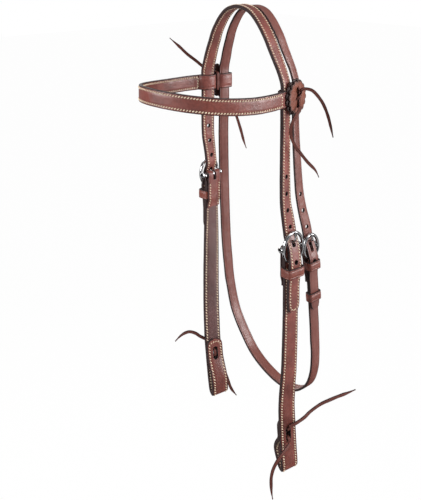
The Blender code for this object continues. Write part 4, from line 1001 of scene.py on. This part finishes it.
def make_cheek(name, line, gap):
    """One sewn strap: folded round the buckle bar at the top and into the bit loop below."""
    ribbon = Ribbon(cheek_stations(line, gap))
    cheek = ribbon.skin(strap_outline()).object(f"cheek_{name}_leather", f"cheek_{name}")
    tie_z = line.bar_z - CHEEK_LENGTH + TIE_HEIGHT
    _, out, down = line.axes(tie_z)
    middle, plies = (
        [(line.place(0.0, s, tie_z), out, -down, TIE_SLOT_LENGTH) for s in depths]
        for depths in ((-0.5 * DOUBLED,), (0.0, -DOUBLED - GAP)))
    cut(cheek, tongue_slot(line), punch_skins(middle, 0.5 * TIE_SLOT_WIDTH), overlapping=True)
    place_piece(cheek, "headstall", f"cheek_{name}")
    shaded_hole_sleeves(f"tie_slot_edges_{name}", plies, DOUBLED, 0.5 * TIE_SLOT_WIDTH)
    u = 0.5 * CHEEK_WIDTH - GROOVE_INSET
    below_bow, fold_end, fold_top = ribbon.marks_at(
        line, (0.0, CHEEK_LOWER + BELOW_BOW), (0.0, FOLD_BACK + SEAM_END),
        (line.stack.bar_s - line.stack.wrap_radius, BELOW_BAR))
    bend = [(ribbon.length - d, v) for d, v in end_bend(CHEEK_WIDTH, LOOP_TIP)]
    tip = bend[::-1] + [(d, -v) for d, v in bend[1:]]
    rows = [ribbon.row(face, [(start, u), *tip, (start, -u)])
            for face, start in ((line.side, below_bow), (-line.side, fold_end))]
    rows += [ribbon.row(line.side, [(ROW_END, v), (fold_top, v)]) for v in (u, -u)]
    sew(f"cheek_{name}", "headstall", rows)


def smooth_points(points, per_span):
    """Points of a smooth curve through the given ones."""
    last = len(points) - 1
    leans = [(points[min(k + 1, last)] - points[max(k - 1, 0)]) * 0.5 for k in range(last + 1)]
    made = []
    for k in range(last):
        for j in range(per_span):
            made.append(Vector(hermite(j / per_span, points[k], leans[k], points[k + 1], leans[k + 1])))
    return made + points[-1:]


def throat_stations(lines):
    """The whole throat latch: fold at the near buckle, under the jaw, over the poll, to its tip."""
    near, off = lines
    size = (THROAT_WIDTH, THROAT_PLY)
    low_z, off_low_z = THROAT_BAR_Z + NEAR_THROAT[-1][0], BAND_Z + OFF_THROAT[-1][0]
    top_z = THROAT_BAR_Z - 1.6 * near.stack.wrap_radius
    stations = [near.station(s, z, *size) for s, z in fold_path(near, THROAT_FOLD_BACK, THROAT_KEEPER_DROP)]
    stations += [near.station(0.0, z, *size) for z in run(top_z, low_z, COARSE_STEP)]
    under = [Vector((x, y, BAND_Z + z)) for x, y, z in reversed(THROAT_UNDER)]
    ends = [near.centre(low_z), *under, off.centre(off_low_z)]
    stations += [(point, REAR, *size) for point in smooth_points(ends, 3)[1:-1]]
    stations += [off.station(0.0, z, *size) for z in run(off_low_z, ARCH_FOOT, COARSE_STEP)]
    stations += arch_stations(lines, *size, THROAT_ARCH_Y)[::-1][1:-1]
    return stations + billet_stations(near, THROAT_PAST_BAR, THROAT_WIDTH)[::-1]


def make_throat_latch(lines):
    near = lines[0]
    ribbon = Ribbon(throat_stations(lines))
    latch = ribbon.skin(strap_outline(1, THROAT_INSET)).object("throat_latch_leather", "plain_leather")
    places = holes(near, THROAT_PAST_BAR, THROAT_HOLES)
    cut(latch, punch_skins(places), tongue_slot(near))
    place_piece(latch, "headstall", "throat_latch")
    shaded_hole_sleeves("throat_hole_shading", places, THROAT_PLY)
    u = 0.5 * THROAT_WIDTH - GROOVE_INSET
    below_bow, fold_end, below_keeper = ribbon.marks_at(
        near, (0.0, THROAT_LOWER + BELOW_BOW), (0.0, THROAT_FOLD_BACK - THROAT_ROW_END),
        (near.stack.fold_back, THROAT_KEEPER_DROP + BELOW_KEEPER))
    ends = ((below_bow, fold_end), (below_keeper, THROAT_ROW_END))
    sew("throat_latch", "headstall", [ribbon.row(1, [(a, u), (b, u), (b, -u), (a, -u)]) for a, b in ends])


def make_keeper(name, line, drop, height, clearance=GAP, body="headstall"):
    """Creased loop of one ply round the strap and the billet."""
    z = line.bar_z - drop
    frame = line.rigid(z)
    top = max(line.billet(z + 0.5 * height), line.billet(z - 0.5 * height))
    low, high = -line.stack.face - clearance, top + 0.5 * line.stack.billet + clearance
    corner_u = 0.5 * line.stack.width + clearance - KEEPER_CORNER
    reach = KEEPER_CORNER + 0.5 * KEEPER_PLY
    points = [(0.0, low - 0.5 * KEEPER_PLY)]
    for side, s, start in ((-1, low + KEEPER_CORNER, 1.5), (-1, high - KEEPER_CORNER, 1.0),
                           (1, high - KEEPER_CORNER, 0.5), (1, low + KEEPER_CORNER, 0.0)):
        points += arc(side * corner_u, s, reach, start * pi, (start - 0.5) * pi, 6)
        if start == 1.0:
            points.append((0.0, high + 0.5 * KEEPER_PLY))
    up = direction(frame, 0.0, 0.0, 1.0)
    ribbon = Ribbon([(frame @ Vector((u, s, 0.0)), up, height, KEEPER_PLY) for u, s in points], KEEPER_STEP, True)
    keeper = ribbon.skin(strap_outline(1, KEEPER_INSET, KEEPER_ROUNDING), KEEPER_WAVER)
    place_piece(keeper.object(f"{name}_loop", "keeper_leather"), body, name)


def band_side_path():
    """Plain ply round both straps on one side as (rearward, outward) points, inner end first."""
    half_crown = 0.5 * CROWN_WIDTH
    over_crown = 0.5 * DOUBLED + LACE_CLEARANCE + 0.5 * PLY
    over_throat = 0.5 * THROAT_PLY + LACE_CLEARANCE + 0.5 * PLY
    front = 0.5 * THROAT_SPACING + 0.5 * (half_crown - 0.5 * THROAT_WIDTH)
    pinch = 0.5 * (PLY + GAP)
    throat_front = THROAT_SPACING - 0.5 * THROAT_WIDTH
    throat_rear = THROAT_SPACING + 0.5 * THROAT_WIDTH
    seam = -half_crown - BAND_SEAM
    inner = [
        (seam, over_crown - 1.08 * PLY),
        (seam + 0.32 * BAND_SEAM, 0.1 * PLY),
        (seam + 0.64 * BAND_SEAM, -0.72 * over_crown),
        (seam + 1.05 * BAND_SEAM, -over_crown - 0.02 * PLY),
        (half_crown - 0.1 * PLY, -over_crown),
        (front - 0.5 * LACE_WIDTH, -pinch),
        (front + 0.5 * LACE_WIDTH, -pinch),
        (throat_front + 0.1 * PLY, -over_throat),
        (throat_rear, -over_throat),
    ]
    turn = arc(throat_rear, 0.0, over_throat, -0.5 * pi, 0.5 * pi, 8)[1:-1]
    outer = [
        (throat_rear, over_throat),
        (throat_front + 0.1 * PLY, over_throat),
        (front + 0.5 * LACE_WIDTH, pinch),
        (front - 0.5 * LACE_WIDTH, pinch),
        (half_crown - 0.1 * PLY, over_crown),
        (seam + 1.2 * BAND_SEAM, over_crown),
    ]
    return inner + turn + outer, front, over_crown, seam


def make_browband(lines):
    """Sewn band round the forehead, whose plain ends fold round the crown and the throat latch."""
    path, _, over_crown, seam = band_side_path()
    path.append((seam + 0.45 * BAND_SEAM, over_crown))
    near, off = ([(line.place(u, s, BAND_Z), UP, BAND_HEIGHT, PLY) for u, s in path] for line in lines)
    joint = lines[0].place(seam, over_crown + 0.5 * PLY - 0.5 * DOUBLED, BAND_Z)
    start = asin((BAND_CENTRE_Y - joint.y) / BAND_REACH)
    front = []
    for k in range(BAND_STEPS + 1):
        turn = start + (pi - 2 * start) * k / BAND_STEPS
        centre = (joint.x / cos(start) * cos(turn), BAND_CENTRE_Y - BAND_REACH * sin(turn),
                  BAND_Z + BAND_RAISE * max(0.0, sin(turn)) ** 2)
        front.append((Vector(centre), UP, BAND_HEIGHT, DOUBLED))
    ribbon = Ribbon(near + front + off[::-1], BAND_STEP)
    place_piece(ribbon.skin(strap_outline()).object("browband_leather", "leather"), "browband_set", "browband")
    u = 0.5 * BAND_HEIGHT - GROOVE_INSET
    begin, end = ribbon.mark(front[0][0]) + SEAM_END, ribbon.mark(front[-1][0]) - SEAM_END
    corners = [(begin, u), (end, u), (end, -u), (begin, -u), (begin, u)]
    sew("browband", "browband_set", [ribbon.row(face, corners) for face in (-1, 1)])


# Section of a disc, from the middle of its front, as (share of the radius, height in thicknesses, shade)
DISC_SECTION = (
    (0.06, 1.0, 0.0), (0.25, 1.0, 0.0), (0.45, 0.99, 0.0), (0.62, 0.98, 0.05), (0.76, 0.97, 0.12), (0.86, 0.96, 0.3),
    (0.93, 0.95, 0.5), (0.965, 0.90, 0.7), (0.99, 0.74, 0.9), (1.0, 0.52, 1.0), (0.99, 0.24, 1.0),
    (0.96, 0.08, 0.8), (0.90, 0.03, 0.5), (0.6, 0.0, 0.1), (0.3, 0.0, 0.0), (0.06, 0.0, 0.0),
)


def make_rosette(name, frame, radius, low, turn, finish):
    """Pinked disc with rolled edges, slightly domed, with two slots for the lace."""
    rings, shades, lays = [], [], []
    for share, high, shade in DISC_SECTION:
        ring, lay = [], []
        for a in turns(10 * SCALLOPS):
            notch = 1 - abs(sin(0.5 * SCALLOPS * a))
            r = share * radius - SCALLOP_DEPTH * 2 * notch ** 1.4 * share ** 5
            place = Vector((r * cos(a + turn), low + ROSETTE_THICKNESS * high, r * sin(a + turn)))
            ring.append(frame @ (place + Vector((0.0, noise.noise(place * DISC_NOISE) * ROSETTE_SWELL, 0.0))))
            lay.append((r, a * 0.01, 0.0))
        rings.append(ring)
        shades.append([shade] * len(ring))
        lays.append(lay)
    disc = Skin().tube(rings, False, shades, lays).object(f"{name}_disc", finish, radians(60))
    half_u, half_z = 0.5 * LACE_WIDTH + LACE_CLEARANCE, 0.5 * LACE_THICKNESS + LACE_CLEARANCE
    blocks = []
    for middle in (-LACE_HEIGHT, LACE_HEIGHT):
        high_corner = (half_u, low + ROSETTE_THICKNESS + CUT_PAST, middle + half_z)
        blocks.append(box_skin(frame, (-half_u, low - CUT_PAST, middle - half_z), high_corner))
    cut(disc, *blocks)
    place_piece(disc, "browband_set", name)


def lace_outline(width, thickness):
    """Cross-section of a flat cut lace with softened corners."""
    w, t = 0.5 * width, 0.5 * thickness
    r = 0.55 * t
    made = []
    # The third value feeds the edge mask: the cut sides turn dark, their burnished tone deepened as painted shade.
    for cu, ct, start in ((w - r, t - r, 0.0), (r - w, t - r, 0.5 * pi), (r - w, r - t, pi), (w - r, r - t, 1.5 * pi)):
        for k in range(4):
            a = start + 0.5 * pi * k / 3
            side = abs(cos(a))
            made.append((cu + r * cos(a), ct + r * sin(a), 0.25 + 0.7 * side))
        if start in (0.0, pi):
            sign = 1 if start == 0.0 else -1
            made.append((sign * 0.45 * w, sign * t * 1.04, 0.0))
            made.append((-sign * 0.45 * w, sign * t * 1.04, 0.0))
    return made


def lace_piece(name, stations, body, nodes=(), closed=False, step=LACE_STEP):
    item = Ribbon(stations, step, closed).skin(lace_outline, LACE_WAVER).object(name, "lace")
    return place_piece(item, body, *nodes)


def lace_strip(name, frame, path, body, closed=False):
    """Lace along a path of (outward, height) in a piece's own axes."""
    across = direction(frame, 1.0, 0.0, 0.0)
    stations = [(frame @ Vector((0.0, s, z)), across, LACE_WIDTH, LACE_THICKNESS) for s, z in path]
    lace_piece(f"{name}_strip", stations, body, [name], closed)


def make_rosette_lace(name, frame, front):
    """Lace that pinches the band between the straps and holds both discs, with the short turn that locks it."""
    inner_s = -(0.5 * GAP + PLY + LACE_CLEARANCE + 0.5 * LACE_THICKNESS)
    outer_s = front + ROSETTE_THICKNESS + LACE_CLEARANCE + 0.5 * LACE_THICKNESS
    corner_z = LACE_HEIGHT - LACE_CORNER
    points = [(inner_s, 0.0)]
    for s, z, start in ((inner_s + LACE_CORNER, corner_z, 1.0), (outer_s - LACE_CORNER, corner_z, 0.5),
                        (outer_s - LACE_CORNER, -corner_z, 0.0), (inner_s + LACE_CORNER, -corner_z, -0.5)):
        points += arc(s, z, LACE_CORNER, start * pi, (start - 0.5) * pi, 5)
        if start == 0.5:
            points.append((outer_s, 0.0))
    lace_strip(name, frame, points, "browband_set", True)
    over = 0.95 * LACE_THICKNESS
    route = ((0.0052, -0.0007, 0.0072), (0.0036, 0.0004, 0.0058), (0.0018, over, 0.0042), (0.0, over + 0.0002, 0.0026),
             (-0.0018, over, 0.0008), (-0.0032, 0.0003, -0.0008), (-0.0042, -0.0008, -0.0020))
    turn = direction(frame, 0.45, 0.0, 0.89)
    knot = [(frame @ Vector((u, outer_s + s, z)), turn, KNOT_WIDTH, KNOT_THICKNESS) for u, s, z in route]
    lace_piece(f"{name}_knot", knot, "browband_set")


def make_loop_tie(name, line):
    """Lace through both plies of a bit loop: its bend inside, both ends flat on the outer face."""
    frame = line.rigid(line.bar_z - CHEEK_LENGTH + TIE_HEIGHT)
    outer = 0.5 * DOUBLED + GAP + 0.5 * LACE_THICKNESS
    inner = -(1.1 * DOUBLED + GAP)
    leg = 0.5 * TIE_SLOT_LENGTH - LACE_THICKNESS
    half = [
        (inner, 0.30), (inner + 0.20 * DOUBLED, 0.64), (inner + 0.60 * DOUBLED, 0.76),
        (0.0, 0.80), (outer - 0.55 * LACE_THICKNESS, 0.92), (outer, 1.25), (outer, 1.55),
    ]
    path = [(s, -z) for s, z in reversed(half)] + half
    lace_strip(name, frame, [(s, z * leg) for s, z in path], "headstall")


def make_tail(name, route):
    """A free lace end: a flat strip that tapers to a cut point."""
    points = smooth_points([Vector(point) for point in route], 12)
    marks = marks_along(points)
    total = marks[-1]
    stations = []
    for k, (point, mark) in enumerate(zip(points, marks)):
        left = min(1.0, (total - mark) / TAIL_TAPER)
        wide = TAIL_WIDTH * max(0.30, left ** 0.8)
        swell = 1.0 + 0.10 * noise.noise(point * TAIL_NOISE)
        if name in ON_EDGE:
            first, last = (Vector(edge) for edge in ON_EDGE[name])
            side = first.lerp(last, mark / total)
        else:
            along = points[min(k + 1, len(points) - 1)] - points[max(k - 1, 0)]
            side = along.normalized().cross(TAIL_FACE)
        stations.append((point, side, wide * swell, TAIL_THICKNESS * (0.8 + 0.2 * left)))
    body = "browband_set" if name.startswith("rosette") else "headstall"
    item = lace_piece(f"{name}_lace", stations, body, [name], step=TAIL_STEP)


def rim_point(stack, turn):
    """Middle of the rim at an angle: 0 to the rear, a quarter turn up."""
    half = 0.5 * stack.width + RIM_OUTSIDE_STRAP
    tall = stack.arch if sin(turn) > 0 else stack.lower
    return half * cos(turn), tall * sin(turn)


def swollen(count, power):
    """Points (across, up) of a circle of radius 1 swollen towards its square."""
    made = []
    for a in turns(count):
        swell = (abs(cos(a)) ** power + abs(sin(a)) ** power) ** (-1 / power)
        made.append((cos(a) * swell, sin(a) * swell))
    return made


def make_frame(name, line, body):
    """Polished cast frame: a deep arch, thinner towards the keeper end, with an ear at each bar end."""
    stack, place = line.stack, line.rigid(line.bar_z)
    rings, section = [], swollen(20, 2.6)
    for turn in turns(RIM_STEPS):
        (u0, z0), (u, z), (u1, z1) = (rim_point(stack, turn + way * pi / RIM_STEPS) for way in (-1, 0, 1))
        outward = Vector((z1 - z0, 0.0, u0 - u1)).normalized()
        share = 0.5 + 0.5 * sin(turn)
        depth = 0.52 * (LOWER_DEPTH + (ARCH_DEPTH - LOWER_DEPTH) * share)
        width = 0.52 * RIM_WIDTH * (0.72 + 0.28 * share)
        middle = stack.lower_s + (stack.arch_s - stack.lower_s) * share
        rings.append([place @ (Vector((u, middle + depth * v, z)) + outward * (width * h)) for h, v in section])
    cast = Skin().tube(rings, True).object(f"{name}_cast", "steel")
    join(cast, "UNION", "steel", ear_skin(place, stack, -1), ear_skin(place, stack, 1))
    place_piece(cast, body, name)


def oval(place, u, middle, reach, tall):
    """Ring round the bar's direction at a place u along it."""
    return [place @ Vector((u, middle + reach * cos(a), tall * sin(a))) for a in turns(24)]


def ear_skin(place, stack, side):
    """Rounded lug that carries one end of the bar behind the rim."""
    inner = 0.5 * stack.width + EAR_CLEARANCE
    outer = 0.5 * stack.width + RIM_OUTSIDE_STRAP + 0.42 * RIM_WIDTH
    back = stack.bar_s - BAR_RADIUS - TONGUE_EYE
    front = stack.lower_s + 0.5 * LOWER_DEPTH
    rings = []
    for part, share in ((0.0, 0.80), (0.04, 0.92), (0.12, 1.0), (0.5, 1.0),
                        (0.72, 0.97), (0.85, 0.90), (0.94, 0.76), (1.0, 0.55)):
        u = side * (inner + (outer - inner) * part)
        rings.append(oval(place, u, 0.5 * (back + front), 0.5 * (front - back) * share, EAR_RADIUS * share))
    return Skin().tube(rings)


def make_bar(name, line, body):
    half = 0.5 * line.stack.width + EAR_CLEARANCE - GAP
    place, rings = line.rigid(line.bar_z), []
    for u, size in ((-half, 0.86), (BEVEL - half, 1.0), (half - BEVEL, 1.0), (half, 0.86)):
        rings.append(oval(place, u, line.stack.bar_s, BAR_RADIUS * size, BAR_RADIUS * size))
    place_piece(Skin().tube(rings).object(f"{name}_pin", "steel"), body, name)


def rod_outline(width, thickness):
    """Rounded cross-section of the tongue."""
    return [(0.5 * width * u, 0.5 * thickness * t, 0.0) for u, t in swollen(16, 2.5)]


def make_tongue(name, line, body):
    """Tongue: an eye round the bar and a tapered point that rests on the arch."""
    stack, place = line.stack, line.rigid(line.bar_z)
    eye_in = BAR_RADIUS + GAP
    eye_out = eye_in + TONGUE_EYE
    half = 0.5 * TONGUE_WIDTH
    section = (
        (-half, eye_in + BEVEL), (BEVEL - half, eye_in), (half - BEVEL, eye_in), (half, eye_in + BEVEL),
        (half, eye_out - BEVEL), (half - BEVEL, eye_out), (BEVEL - half, eye_out), (-half, eye_out - BEVEL),
    )
    eye = [[place @ Vector((u, stack.bar_s + r * cos(a), r * sin(a))) for u, r in section] for a in turns(36)]
    tongue = Skin().tube(eye, True).object(f"{name}_steel", "steel")
    rest_s = stack.arch_s + 0.5 * ARCH_DEPTH + GAP + 0.5 * TONGUE_THICKNESS
    hole_s = line.billet(line.bar_z + TONGUE_HOLE)
    root = eye_in + 0.5 * TONGUE_EYE
    tip_z = stack.arch + TONGUE_PAST_RIM
    path = [
        (stack.bar_s + root * cos(0.28 * pi), root * sin(0.28 * pi), 1.0),
        (hole_s - 0.62 * stack.billet, TONGUE_HOLE - 0.30 * TONGUE_HOLE_LENGTH, 1.0),
        (hole_s, TONGUE_HOLE, 0.95),
        (hole_s + 0.62 * stack.billet, TONGUE_HOLE + 0.32 * TONGUE_HOLE_LENGTH, 0.9),
        (rest_s - 0.1 * TONGUE_THICKNESS, TONGUE_HOLE + 0.5 * (stack.arch - TONGUE_HOLE), 0.85),
        (rest_s, stack.arch - 0.5 * RIM_WIDTH, 0.8),
        *((rest_s, tip_z - below, share) for below, share in TONGUE_POINT),
    ]
    across = direction(place, 1.0, 0.0, 0.0)
    stations = []
    for s, z, share in path:
        stations.append((place @ Vector((0.0, s, z)), across, TONGUE_WIDTH * share, TONGUE_THICKNESS * share))
    join(tongue, "UNION", "steel", Ribbon(stations, TONGUE_STEP).skin(rod_outline, 0.0))
    place_piece(tongue, body, name)


def stage_plane(name, material, corners):
    mesh = bpy.data.meshes.new(name)
    mesh.from_pydata(corners, [], [(0, 1, 2, 3)])
    mesh.materials.append(material)
    item = add_object(name, mesh)
    return item


def level_square(half, z):
    return [(-half, -half, z), (half, -half, z), (half, half, z), (-half, half, z)]


def make_stage():
    """White world and floor, black cards and soft lamps."""
    bpy.context.scene.world = bpy.data.worlds.new("studio")
    g = Graph(bpy.context.scene.world)
    g.done(Color=WHITE, Strength=g.span(g.seen_directly(), 0.0, 1.0, WORLD_LIGHT, 1.0))

    g = Graph(bpy.data.materials.new("floor"))
    floor = g.done(Base_Color=(0.88, 0.88, 0.88, 1.0), Roughness=0.9)
    glow = g.add("ShaderNodeEmission", {"Color": WHITE, "Strength": 1.0}).outputs[0]
    share = g.math("MULTIPLY", g.seen_directly(), FLOOR_GLOW)
    mixed = g.add("ShaderNodeMixShader", {0: share, 1: g.shader.outputs[0], 2: glow})
    g.set(g.tree.nodes["Material Output"].inputs["Surface"], mixed.outputs[0])
    stage_plane("floor", floor, level_square(FLOOR_HALF, FLOOR_Z))

    g = Graph(bpy.data.materials.new("card"))
    black = g.done(Base_Color=(0.01, 0.01, 0.01, 1.0), Specular_IOR_Level=0.0)
    low, high = CARD_HEIGHTS
    cards = {name: [(*a, low), (*b, low), (*b, high), (*a, high)] for name, (a, b) in CARDS.items()}
    cards["card_low"] = level_square(LOW_CARD_HALF, LOW_CARD_Z)
    for name, corners in cards.items():
        card = stage_plane(name, black, corners)
        card.visible_camera = card.visible_diffuse = card.visible_shadow = False

    for name, place, size, power in LAMPS:
        data = bpy.data.lights.new(name, "AREA")
        data.shape = "DISK"
        data.size = size
        data.energy = power
        item = add_object(name, data)
        item.location = place
        aim = Vector((0.0, 0.0, LAMP_AIM)) - item.location
        item.rotation_euler = aim.to_track_quat("-Z", "Y").to_euler()


near_line = side_line(1, NEAR_BAR_Z, NEAR_DROP)
off_line = side_line(-1, OFF_BAR_Z, OFF_DROP)
side_lines = {"near": near_line, "off": off_line}
near_throat = throat_line(1, near_line, NEAR_THROAT, THROAT_BAR_Z)
off_throat = throat_line(-1, off_line, OFF_THROAT, BAND_Z)

camera()
for tail_name, tail_route in TAIL_ROUTES.items():
    make_tail(tail_name, tail_route)
make_crown((near_line, off_line))
make_cheek("near", near_line, NEAR_LOOP_GAP)
make_cheek("off", off_line, OFF_LOOP_GAP)
make_throat_latch((near_throat, off_throat))
make_browband((near_line, off_line))
for side_name, side in {**side_lines, "throat": near_throat}.items():
    make_frame(f"buckle_frame_{side_name}", side, f"buckle_{side_name}")
    make_bar(f"buckle_bar_{side_name}", side, f"buckle_{side_name}")
    make_tongue(f"buckle_tongue_{side_name}", side, f"tongue_{side_name}")
for side_name, side in side_lines.items():
    make_keeper(f"keeper_{side_name}", side, CHEEK_KEEPER_DROP, KEEPER_HEIGHT)
    make_loop_tie(f"loop_tie_{side_name}", side)
make_keeper("keeper_throat_fixed", near_throat, THROAT_KEEPER_DROP, THROAT_KEEPER_HEIGHT)
make_keeper("keeper_throat_loose", near_throat, LOOSE_KEEPER_DROP, THROAT_KEEPER_HEIGHT,
            LOOSE_KEEPER_CLEARANCE, "loose_keeper")
_, pinch_u, over_strap, _ = band_side_path()
disc_back = over_strap + 0.5 * PLY + GAP
disc_front = disc_back + ROSETTE_THICKNESS + GAP
for side_name, side in side_lines.items():
    disc_frame = side.rigid(BAND_Z, pinch_u)
    make_rosette(f"rosette_back_{side_name}", disc_frame, ROSETTE_BACK_RADIUS, disc_back, 0.0, "dark_leather")
    make_rosette(f"rosette_front_{side_name}", disc_frame, ROSETTE_RADIUS, disc_front, ROSETTE_TURN, "disc_leather")
    make_rosette_lace(f"rosette_lace_{side_name}", disc_frame, disc_front)
make_stage()

bpy.context.scene.view_settings.view_transform = "Standard"
